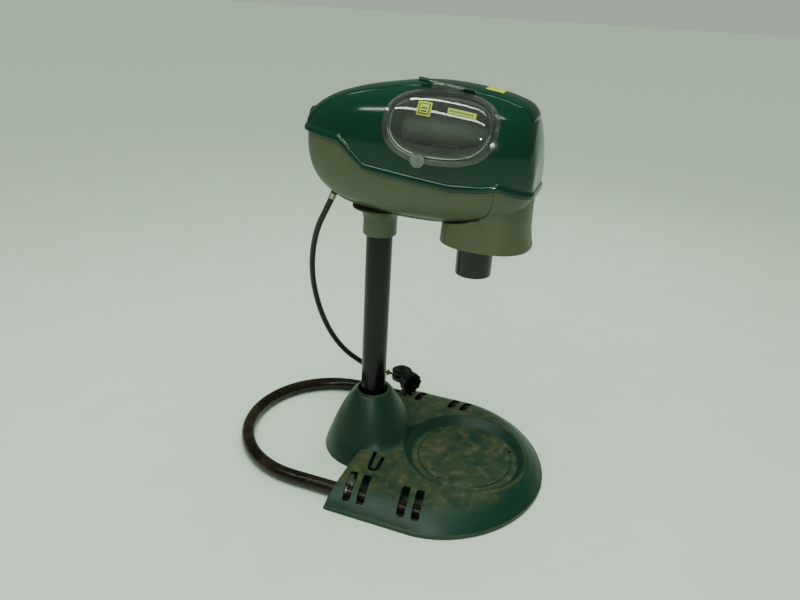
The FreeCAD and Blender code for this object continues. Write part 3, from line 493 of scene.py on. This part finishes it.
def mark_outline(width):
    """Outline of the hook-shaped mark beside the slots: two legs joined by an arc."""
    arc = np.linspace(math.pi * 1.05, math.pi * 2.02, 14)
    bend = np.stack([66 + 10 * np.cos(arc), -148 + 11 * np.sin(arc)], -1)[1:-1]
    return band(np.vstack([[(50.5, -100), (52.5, -120), (55, -142)], bend, [(75.5, -140), (73, -108)]]), width)


def moulded_base():
    """Rows run outwards from the seat's middle: circles to 160 mm, then shares of the way to the outline."""
    n_turn = 520
    turns = np.linspace(0, 2 * np.pi, n_turn, endpoint=False)
    way = np.stack([np.cos(turns), np.sin(turns)], -1)
    lo, hi = np.zeros(n_turn), np.full(n_turn, 500.0)
    for _ in range(32):
        mid = (lo + hi) / 2
        ok = inside_base(SEAT_X + mid * way[:, 0], SEAT_Y + mid * way[:, 1])
        lo, hi = np.where(ok, mid, lo), np.where(ok, hi, mid)
    circles = np.array([2, 40, 80, 104, 106, 107.5, 109, 111, 117, 123, 125, 127.5, 130, 133, 136, 139, 141, 143,
                        145.5, 148, 151, 155, 160.0])
    inward = np.array([0, 0.1, 0.35, 0.8, 1.4, 2.2, 3, 4.5, 7, 10, 14, 18, 23, 28, 34, 40, 47, 54, 62, 72])
    room = lo - 160
    near = lo[None] - np.minimum(inward[:, None], room[None] * (inward[:, None] / 72) * 0.85)
    share = np.linspace(0, 1, 36)[1:-1, None]
    middle = 160 + (near[-1][None] - 160) * share
    dist = np.vstack([np.repeat(circles[:, None], n_turn, 1), middle, near[::-1]])
    x, y = SEAT_X + dist * way[:, 0], SEAT_Y + dist * way[:, 1]
    z = seat_and_boss(x, y)
    z[-1] = 0
    points = np.stack([x, y, z], -1) * MM
    n, m = points.shape[:2]
    verts = np.vstack([points.reshape(-1, 3), [[SEAT_X * MM, SEAT_Y * MM, 27 * MM]]])
    faces = grid_faces(n, m, around=True).tolist()
    faces += [[i, (i + 1) % m, n * m] for i in range(m)]
    obj = add_object("base_moulding", verts, faces)
    recalculate(obj)
    modify(obj, "SOLIDIFY", thickness=2.8 * MM, offset=-1.0)
    bake_modifiers(obj)
    a = np.linspace(0, 2 * np.pi, 72, endpoint=False)
    circle = np.stack([np.cos(a), np.sin(a), np.zeros(72)], -1)
    cutters = [prism("socket", (circle * 35.5 + (0, 0, 20)) * MM, (0, 0, 0.15)),
               prism("drain", (circle[::3] * 4 + (336, 57, 15)) * MM, (0, 0, 0.02))]
    for side in (-1, 1):
        for k, sx in enumerate((39, 71, 162, 194)):
            cutters.append(rounded_slot(sx, BASE_Y + side * 202, -side * math.radians(8), 18, 74, 8, 50,
                                        f"slot{side}{k}"))
        pipe = np.stack([np.full(72, -8.0), BASE_Y + side * 206 + 17.4 * np.cos(a), 15.9 + 17.4 * np.sin(a)], -1)
        pipe[:, 2] = np.where(pipe[:, 2] < 15.9, -3.0, pipe[:, 2])
        cutters.append(prism(f"passage{side}", pipe * MM, (0.034, 0, 0)))
    mark = mark_outline(8.5)
    cutters.append(prism("mark", np.c_[mark, np.full(len(mark), 39.6)] * MM, (0, 0, 0.02)))
    cut_away(obj, cutters)
    flat = np.empty(len(obj.data.vertices) * 3)
    obj.data.vertices.foreach_get("co", flat)
    flat[2::3] = np.maximum(flat[2::3], 0)
    obj.data.vertices.foreach_set("co", flat)
    return by_angle(obj, 34)


# ---------------------------------------------------------------- materials
def linear(code):
    """sRGB hex to linear RGBA."""
    c = np.array([int(code[i:i + 2], 16) for i in (1, 3, 5)]) / 255
    return (*np.where(c <= 0.04045, c / 12.92, ((c + 0.055) / 1.055) ** 2.4), 1.0)


def put(tree, kind, links=None, **settings):
    """Adds one node: settings are properties or input values by name, links are input name to output socket."""
    item = tree.nodes.new(kind)
    for key, value in settings.items():
        if hasattr(item, key):
            setattr(item, key, value)
        else:
            item.inputs[key.replace("_", " ")].default_value = value
    for key, source in (links or {}).items():
        tree.links.new(source, item.inputs[key])
    return item


def finish(name, colour, roughness, **settings):
    """A material with one shader; returns it with its tree and shader."""
    mat = bpy.data.materials.new(name)
    mat.use_nodes = True
    shader = mat.node_tree.nodes["Principled BSDF"]
    shader.inputs["Base Color"].default_value = linear(colour)
    shader.inputs["Roughness"].default_value = roughness
    for key, value in settings.items():
        shader.inputs[key.replace("_", " ")].default_value = value
    return mat, mat.node_tree, shader


def give(obj, mat):
    """The object gets that one material."""
    obj.data.materials.clear()
    obj.data.materials.append(mat)
    return obj


def mottle(tree, scale, low, high, detail=6.0):
    """Noise on Object coordinates, scale in cycles per metre, stretched so low to high runs from 0 to 1."""
    place = put(tree, "ShaderNodeTexCoord").outputs["Object"]
    noise = put(tree, "ShaderNodeTexNoise", {"Vector": place}, Scale=scale, Detail=detail, Roughness=0.6)
    spread = put(tree, "ShaderNodeMapRange", {"Value": noise.outputs["Fac"]}, From_Min=low, From_Max=high)
    return spread.outputs["Result"]


def times(tree, *sources):
    """Product of the values."""
    out = sources[0]
    for other in sources[1:]:
        node = tree.nodes.new("ShaderNodeMath")
        node.operation = "MULTIPLY"
        for socket, source in zip(node.inputs, (out, other)):
            if isinstance(source, float):
                socket.default_value = source
            else:
                tree.links.new(source, socket)
        out = node.outputs[0]
    return out


def lying_up(tree):
    """1 on level faces, 0 on faces steeper than about 28 degrees."""
    normal = put(tree, "ShaderNodeNewGeometry").outputs["Normal"]
    split = put(tree, "ShaderNodeSeparateXYZ", {"Vector": normal})
    level = put(tree, "ShaderNodeMapRange", {"Value": split.outputs["Z"]}, From_Min=0.88, From_Max=0.995)
    return level.outputs["Result"]


def layer(tree, shader, colour, mask, rough=None):
    """Covers the shader's colour, and its roughness where one is given, with another where the mask is 1."""
    for name, value, kind in (("Base Color", linear(colour), "RGBA"), ("Roughness", rough, "FLOAT")):
        if value is None:
            continue
        target = shader.inputs[name]
        mix = tree.nodes.new("ShaderNodeMix")
        mix.data_type = kind
        first, second, result = (2, 3, 0) if kind == "FLOAT" else (6, 7, 2)
        if target.links:
            tree.links.new(target.links[0].from_socket, mix.inputs[first])
        else:
            mix.inputs[first].default_value = target.default_value
        mix.inputs[second].default_value = value
        tree.links.new(mask, mix.inputs[0])
        tree.links.new(mix.outputs[result], target)


def grain(tree, shader, scale, height, strength=0.5):
    """Bump from fine noise: scale in cycles per metre, height in metres."""
    place = put(tree, "ShaderNodeTexCoord").outputs["Object"]
    noise = put(tree, "ShaderNodeTexNoise", {"Vector": place}, Scale=scale, Detail=3.0)
    bump = put(tree, "ShaderNodeBump", {"Height": noise.outputs["Fac"]}, Strength=strength, Distance=height)
    tree.links.new(bump.outputs["Normal"], shader.inputs["Normal"])


# Cover: deep green ABS with a polished skin, so small lamps show as sharp spots; dust dulls its flat top.
glossy_green, tree, shader = finish("polished moulded ABS, dark green", "#032F20", 0.13, IOR=1.5)
dust = times(tree, mottle(tree, 14.0, 0.42, 0.75), lying_up(tree), 0.2)
layer(tree, shader, "#3A5A44", dust, 0.3)
grain(tree, shader, 900.0, 0.00012, 0.12)

# Base: satin polyethylene whose flats hold brown dust and dried mud; its sides stay cleaner and greener.
base_green, tree, shader = finish("moulded polyethylene, green", "#062B1C", 0.4, IOR=1.5)
layer(tree, shader, "#0D3325", mottle(tree, 5.0, 0.35, 0.7))
flat = times(tree, mottle(tree, 19.0, 0.32, 0.68, 9.0), lying_up(tree), 0.6)
layer(tree, shader, "#45492B", flat, 0.62)
layer(tree, shader, "#5E5636", times(tree, mottle(tree, 46.0, 0.5, 0.72, 9.0), lying_up(tree), 0.6), 0.8)
layer(tree, shader, "#232A1B", times(tree, mottle(tree, 150.0, 0.58, 0.7), 0.6), 0.7)
grain(tree, shader, 620.0, 0.0004, 0.35)

# Bowl, snout and collar: khaki ABS with a moulded matt grain, a little greener and dirtier in patches.
tan_abs, tree, shader = finish("moulded ABS, khaki", "#4E563C", 0.46, IOR=1.5)
layer(tree, shader, "#444B33", mottle(tree, 6.0, 0.35, 0.7))
layer(tree, shader, "#3A3E2A", times(tree, mottle(tree, 38.0, 0.55, 0.8, 8.0), 0.5), 0.65)
grain(tree, shader, 800.0, 0.0003, 0.3)

# Post: black enamel, nearly clean, with faint brown smears that break up its long highlight.
black_enamel, tree, shader = finish("enamelled steel tube, black", "#060607", 0.16, Specular_IOR_Level=0.3)
layer(tree, shader, "#17120D", times(tree, mottle(tree, 20.0, 0.52, 0.8, 8.0), 0.55), 0.5)
grain(tree, shader, 70.0, 0.0004, 0.12)

# Outrigger: the same enamel lying on the ground, browned by mud; the crown of the tube still shines.
muddy_enamel, tree, shader = finish("enamelled steel tube, muddy", "#0E0B08", 0.18, Specular_IOR_Level=0.35)
layer(tree, shader, "#2A2216", mottle(tree, 16.0, 0.42, 0.75, 8.0), 0.36)
layer(tree, shader, "#46391F", times(tree, mottle(tree, 90.0, 0.56, 0.75, 8.0), 0.55), 0.75)
grain(tree, shader, 140.0, 0.0004, 0.2)

# Small black mouldings: plain satin, so their edges read.
black_abs, tree, shader = finish("moulded ABS, black", "#070807", 0.3, IOR=1.5)
grain(tree, shader, 700.0, 0.0002, 0.25)

# Hose: matt nitrile with a dusty bloom.
hose_rubber, tree, shader = finish("extruded nitrile rubber hose, black", "#0A0B0B", 0.45)
layer(tree, shader, "#1A1B19", times(tree, mottle(tree, 60.0, 0.5, 0.8), 0.6), 0.7)

# Regulator: die-cast zinc gone dull and dark outdoors.
zinc_alloy, tree, shader = finish("die-cast zinc, weathered", "#5E625A", 0.46, Metallic=1.0)
layer(tree, shader, "#3E4238", mottle(tree, 55.0, 0.45, 0.75, 8.0), 0.65)
grain(tree, shader, 500.0, 0.0003, 0.3)

# Pale metal of screws and straps, dull yellow at the gas joints, green board and dull black feet, and the black
# tape of the net's hem, which shows as a dark band behind the door.
zinc_plate, _, _ = finish("zinc-plated steel", "#9B9D9A", 0.34, Metallic=1.0)
brass, _, _ = finish("turned brass", "#6E5A34", 0.34, Metallic=1.0)
board_green, _, _ = finish("glass-epoxy circuit board", "#123B22", 0.4)
foot_rubber, _, _ = finish("moulded rubber foot", "#161616", 0.8)
black_tape, _, _ = finish("woven cotton tape, black", "#0B0C0D", 0.9)


def clear_plastic(name, haze, gloss):
    """Thin clear wall: mostly transparent, a share of haze, and a sharp reflection by Fresnel."""
    mat = bpy.data.materials.new(name)
    mat.use_nodes = True
    tree = mat.node_tree
    tree.nodes.remove(tree.nodes["Principled BSDF"])
    through = put(tree, "ShaderNodeBsdfTransparent", Color=linear("#FBFDFB")).outputs[0]
    dull = put(tree, "ShaderNodeBsdfDiffuse", Color=linear("#AEB8AC")).outputs[0]
    sharp = put(tree, "ShaderNodeBsdfGlossy", Roughness=gloss).outputs[0]
    facing = put(tree, "ShaderNodeFresnel", IOR=1.5).outputs[0]
    body = tree.nodes.new("ShaderNodeMixShader")
    body.inputs[0].default_value = haze
    tree.links.new(through, body.inputs[1])
    tree.links.new(dull, body.inputs[2])
    whole = tree.nodes.new("ShaderNodeMixShader")
    tree.links.new(facing, whole.inputs[0])
    tree.links.new(body.outputs[0], whole.inputs[1])
    tree.links.new(sharp, whole.inputs[2])
    tree.links.new(whole.outputs[0], tree.nodes["Material Output"].inputs["Surface"])
    return mat


# Door and hinge barrel: clear polycarbonate, faintly smoky from scratches, with crisp lamp reflections. The latch
# is cloudier, so it reads as a pale button.
clear_pc = clear_plastic("clear polycarbonate", 0.045, 0.035)
clouded_pc = clear_plastic("clear polycarbonate, clouded", 0.22, 0.08)


def woven_net():
    """Threads every 1.1 mm in two directions across the net's length; what lies between them is open."""
    mat, tree, shader = finish("knitted nylon net, grey", "#59625A", 0.7)
    place = put(tree, "ShaderNodeTexCoord").outputs["Object"]
    threads = []
    for way in ("X", "Z"):
        wave = put(tree, "ShaderNodeTexWave", {"Vector": place}, bands_direction=way, Scale=145.0, Distortion=0.0)
        thread = put(tree, "ShaderNodeMapRange", {"Value": wave.outputs["Fac"]}, From_Min=0.5, From_Max=0.75)
        threads.append(thread.outputs[0])
    most = tree.nodes.new("ShaderNodeMath")
    most.operation = "MAXIMUM"
    tree.links.new(threads[0], most.inputs[0])
    tree.links.new(threads[1], most.inputs[1])
    tree.links.new(most.outputs[0], shader.inputs["Alpha"])
    return mat


# The net is an open grey weave that the dim inside shows through. The labels are small pale patches on the door and
# the top, with a plain dark border and bars printed on them.
net_nylon = woven_net()
label_lime, _, _ = finish("printed vinyl label, lime", "#A2B23C", 0.4)
label_ink, _, _ = finish("printing ink, dark", "#22301C", 0.5)

cover = give(moulded_cover(), glossy_green)
bowl = give(moulded_bowl(), tan_abs)
door = give(clear_door(), clear_pc)
base = give(moulded_base(), base_green)
snout = give(moulded_snout(), tan_abs)


# ---------------------------------------------------------------- hinge, latch, tubes
HINGE_TILT = math.radians(7)
HINGE_WAY = np.array([math.cos(HINGE_TILT), 0, -math.sin(HINGE_TILT)])


def on_hinge(x):
    """Point of the door's hinge line at X in millimetres."""
    return np.array([x, -48.5, 862 - (x - 142) * math.tan(HINGE_TILT)]) * MM


def knuckle(name, x0, x1, mat, body):
    """Rounded barrel on the hinge line."""
    a, b = on_hinge(x0), on_hinge(x1)
    length = np.linalg.norm(b - a)
    profile = [(0, 1.7 * MM), (0, 3.4 * MM), (0.6 * MM, 4.2 * MM), (length - 0.6 * MM, 4.2 * MM), (length, 3.4 * MM),
               (length, 1.7 * MM), (0, 1.7 * MM)]
    obj = give(turned(name, a, HINGE_WAY, profile, 40), mat)
    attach(obj, body)
    return obj


for piece, node, slot, body in (
        (base, "base_shell", "base_green", "stand"), (bowl, "head_bowl", "tan", "stand"),
        (cover, "head_cover", "cover_green", "stand"), (snout, "head_chassis", "tan", "stand"),
        (door, "net_door", "clear_plastic", "door")):
    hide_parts(node)
    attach(piece, body)

CAD_FINISH = {
    "hoop_end_plugs": black_abs, "hoop_clamps": zinc_plate, "hoop_clamp_screws": zinc_plate, "base_feet": foot_rubber,
    "post_foot_plug": black_abs, "post_bush": black_abs, "post_bolt": zinc_plate, "post_bolt_nut": zinc_plate,
    "hinge_pin": zinc_plate, "collar_screw": zinc_plate, "inner_shelf": zinc_plate,
    "intake_hood": black_abs, "plume_tube": black_abs, "plume_spider": zinc_plate, "burner": zinc_alloy,
    "gas_valve": zinc_alloy, "gas_inlet_fitting": brass, "gas_feed_pipe": brass, "fan_shroud": black_abs,
    "fan_motor": black_enamel, "fan_impeller": black_abs, "net_frame": black_abs, "catch_net": net_nylon,
    "board_standoffs": brass, "control_board": board_green, "switch_body": black_abs, "power_switch": black_abs,
    "power_inlet": black_abs, "shelf_pillars": tan_abs, "hose_ferrules": zinc_plate, "regulator_nipple": brass,
    "regulator_body": zinc_alloy, "regulator_lid": zinc_alloy, "inlet_stem": brass, "coupling_nut": black_abs,
    "post": black_enamel, "base_hoop": muddy_enamel, "door_latch": clouded_pc}
for node, mat in CAD_FINISH.items():
    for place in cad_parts[node].material_slots:
        place.material = mat

knuckle("rear_knuckle", 84, 104, glossy_green, "stand")
knuckle("front_knuckle", 172, 192, glossy_green, "stand")
knuckle("door_barrel", 104.6, 171.4, clear_pc, "door")
strip = give(patch("top_strip", np.radians(np.linspace(172, 22, 150)), np.linspace(-45, 45, 40), 2.6), glossy_green)
catch = give(patch("rear_catch", np.radians(np.linspace(173, 163.5, 24)), np.linspace(-17, 17, 24), 6.5, 6),
             glossy_green)
for piece in (strip, catch):
    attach(piece, "stand")


def on_dome(u, v, proud):
    """Point of the door's dome at u along X and v up the door from its middle, in millimetres."""
    flat = DOOR_O + np.stack([u * MM, 0 * u, 0 * u], -1) + DOOR_U * (v * MM)[..., None]
    return on_form(flat - DOOR_D * 0.055, np.broadcast_to(DOOR_D, flat.shape), 0.0, far=0.14) + proud * MM * DOOR_D


def decal(name, corners, mat, proud, body, lift=on_dome):
    """Thin patch between four corners given as (u, v), laid on the dome or another surface."""
    s, t = np.meshgrid(np.linspace(0, 1, 12), np.linspace(0, 1, 12), indexing="ij")
    c = np.asarray(corners, float)
    flat = ((1 - s) * (1 - t))[..., None] * c[0] + (s * (1 - t))[..., None] * c[1] + (s * t)[..., None] * c[2] + \
        ((1 - s) * t)[..., None] * c[3]
    obj = give(add_object(name, lift(flat[..., 0], flat[..., 1], proud), grid_faces(12, 12)), mat)
    modify(obj, "SOLIDIFY", thickness=0.12 * MM, offset=0.0)
    bake_modifiers(obj)
    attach(obj, body)
    return obj


def tilted(u0, u1, v0, v1, lean=-0.09):
    """Corners of a label whose lower and upper edges fall towards the front."""
    return [(u0, v0 + lean * u0), (u1, v0 + lean * u1), (u1, v1 + lean * u1), (u0, v1 + lean * u0)]


# door label: a framed square with two plain bars in it, and a plate with a row of short bars
decal("label_square", tilted(-41, -14, 4, 31), label_lime, 13.25, "door")
decal("label_bar", tilted(16, 69, 18, 28), label_lime, 13.25, "door")
decal("label_frame", tilted(-38, -17, 7, 28), label_ink, 13.4, "door")
decal("label_inside", tilted(-36, -19, 9, 26), label_lime, 13.55, "door")
for k, (low, high) in enumerate(((11, 14), (17, 20))):
    decal(f"label_mark_{k}", tilted(-33, -22, low, high), label_ink, 13.7, "door")
for k in range(9):
    decal(f"label_tick_{k}", tilted(20 + 5 * k, 23 + 5 * k, 21, 25), label_ink, 13.4, "door")


def on_top(u, v, proud):
    """Point of the head's top at X = u and Y = v, in millimetres."""
    start = np.stack([u * MM, v * MM, np.full(u.shape, 0.75)], -1)
    up_way = np.broadcast_to(np.array([0, 0, 1.0]), start.shape)
    return on_form(start, up_way) + np.array([0, 0, proud * MM])


decal("top_label", [(206, -26), (240, -26), (240, 4), (206, 4)], label_lime, 3.4, "stand", on_top)

# clear web from the hinge barrel down to the door's flange
across = np.linspace(110, 168, 24)
top_edge = np.stack([on_hinge(x) for x in across]) + np.array([0, -2.5, 1.5]) * MM
reach = (DOOR_B - 1.5 * MM) * (1 - np.abs((across * MM - DOOR_O[0]) / DOOR_A) ** DOOR_POWER) ** (1 / DOOR_POWER)
plane = DOOR_O + np.stack([across * MM - DOOR_O[0], 0 * across, 0 * across], -1) + DOOR_U * reach[:, None]
low_edge = on_form(plane - DOOR_D * 0.055, np.broadcast_to(DOOR_D, plane.shape), 0.0, far=0.14) + 1.9 * MM * DOOR_D
share = np.linspace(0, 1, 7)[:, None, None]
arch = np.sin(np.pi * share) * np.array([0, -1.5, 1.5]) * MM
web = low_edge[None] * (1 - share) + top_edge[None] * share + arch
web = give(add_object("door_web", web, grid_faces(7, 24)), clear_pc)
modify(web, "SOLIDIFY", thickness=1.8 * MM, offset=0.0)
bake_modifiers(web)
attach(web, "door")

# hem of the catch net where it is clipped to its frame by the fan
hem_x = np.linspace(31.5, 56, 8)
around = np.linspace(0, 2 * np.pi, 72, endpoint=False)
hem_w = np.interp(hem_x, [30.4, 80], [48, 50]) + 1.2
hem_h = np.interp(hem_x, [30.4, 80], [46, 31]) + 1.2
hem_z = np.interp(hem_x, [30.4, 80], [765, 775])
hem = np.stack([np.repeat(hem_x[:, None], 72, 1), hem_w[:, None] * spow(np.cos(around), 0.9)[None],
                hem_z[:, None] + hem_h[:, None] * spow(np.sin(around), 0.9)[None]], -1) * MM
hem = give(add_object("net_hem", hem, grid_faces(8, 72, around=True)), black_tape)
modify(hem, "SOLIDIFY", thickness=0.9 * MM, offset=0.0)
bake_modifiers(hem)
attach(hem, "stand")

# pans under the deck beside the strap slots: they close the view through to the ground
for side, label in ((-1, "near"), (1, "far")):
    pan_x = np.linspace(30, 212, 24)
    pan_y, pan_z = np.array([189.0, 174, 160, 157, 156, 156]), np.array([5.0, 5, 5.5, 8, 22, 39.5])
    pan = np.stack([np.repeat(pan_x[None], 6, 0), np.repeat(BASE_Y + side * pan_y[:, None], 24, 1),
                    np.repeat(pan_z[:, None], 24, 1)], -1)
    pan = give(add_object(f"slot_pan_{label}", pan * MM, grid_faces(6, 24)), base_green)
    modify(pan, "SOLIDIFY", thickness=2.2 * MM, offset=0.0)
    bake_modifiers(pan)
    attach(pan, "stand")

# dark floor of the mark: a thin black inlay laid in the groove as painted shade, standing for the shade that the
# groove holds
painted_shade_inlay = mark_outline(8.0)
painted_shade_inlay = give(prism("mark_painted_shade", np.c_[painted_shade_inlay, np.full(len(painted_shade_inlay), 39.9)] * MM, (0, 0, 0.0006)), black_abs)
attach(painted_shade_inlay, "stand")

# dark square frame behind the door, where the net's box is held
BARS = ((120, 170, 751, 755), (120, 170, 729, 733), (120, 124, 733, 751), (166, 170, 733, 751))
for k, (x0, x1, z0, z1) in enumerate(BARS):
    bar = np.array([(x0, -53, z0), (x1, -53, z0), (x1, -53, z1), (x0, -53, z1)]) * MM
    bar = give(prism(f"inner_frame_{k}", bar, (0, 0.004, 0)), black_abs)
    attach(bar, "stand")

# small bevels where the CAD edges are knife sharp
for node in ("coupling_nut", "regulator_body", "regulator_lid", "hose_ferrules", "door_latch", "plume_tube",
             "net_frame"):
    modify(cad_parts[node], "BEVEL", width=0.5 * MM, segments=2, limit_method="ANGLE",
           angle_limit=math.radians(40))

give(hose, hose_rubber)
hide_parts("gas_hose")
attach(hose, "stand")

# ---------------------------------------------------------------- studio
floor = add_object("floor", [(-60, -60, 0), (60, -60, 0), (60, 60, 0), (-60, 60, 0)], [[0, 1, 2, 3]])


def cloth(name, colour):
    """Matt sheeting with slight mottling, so that the ground isn't one flat tone."""
    mat, tree, shader = finish(name, colour, 0.95)
    layer(tree, shader, "#BFCFBF", times(tree, mottle(tree, 7.0, 0.35, 0.75, 8.0), 0.5))
    grain(tree, shader, 60.0, 0.002, 0.25)
    return mat


give(floor, cloth("white cotton sheeting", "#CBD8CA"))


def lamp(name, place, target, size, power, colour="#F4FFF2", length=None, glossy=True):
    """Rectangular lamp aimed at a point; glossy False keeps it out of the reflections."""
    light = bpy.data.lights.new(name, "AREA")
    light.shape, light.size, light.energy = "RECTANGLE", size, power
    light.size_y = length or size
    light.color = linear(colour)[:3]
    obj = bpy.data.objects.new(name, light)
    obj.location = place
    obj.rotation_euler = (Vector(target) - Vector(place)).to_track_quat("-Z", "Y").to_euler()
    obj.visible_glossy = glossy
    scene.collection.objects.link(obj)


lamp("ceiling", (0.15, -0.2, 2.5), (0.05, 0.0, 0.3), 2.2, 26, glossy=False)
day = bpy.data.objects.new("day", bpy.data.lights.new("day", "SUN"))      # even light over the whole floor
day.data.energy, day.data.angle, day.data.color = 2.3, math.radians(60), linear("#F4FFF2")[:3]
day.location, day.rotation_euler, day.visible_glossy = (0, 0, 3), (math.radians(-8), math.radians(6), 0), False
scene.collection.objects.link(day)
lamp("tube_near", (-0.35, -1.25, 2.2), (0.1, -0.05, 0.8), 2.4, 14, length=0.12)
lamp("tube_far", (0.0, -0.5, 2.4), (0.1, -0.05, 0.8), 1.6, 6, length=0.06)
lamp("flash", (0.52, -1.30, 1.12), (0.1, 0, 0.45), 0.06, 3.2, colour="#FFFFFF")
lamp("left", (-1.9, -1.1, 1.7), (0.0, 0, 0.4), 1.5, 5, glossy=False)
lamp("behind", (0.4, 2.2, 1.7), (0.0, 0, 0.4), 1.5, 9, glossy=False)
world = bpy.data.worlds.new("room")
world.use_nodes = True
world.node_tree.nodes["Background"].inputs["Color"].default_value = linear("#C4D2C2")
seen = put(world.node_tree, "ShaderNodeLightPath").outputs["Is Camera Ray"]        # pale behind the floor's end
level = put(world.node_tree, "ShaderNodeMapRange", {"Value": seen}, To_Min=0.27, To_Max=0.75).outputs["Result"]
world.node_tree.links.new(level, world.node_tree.nodes["Background"].inputs["Strength"])
scene.world = world
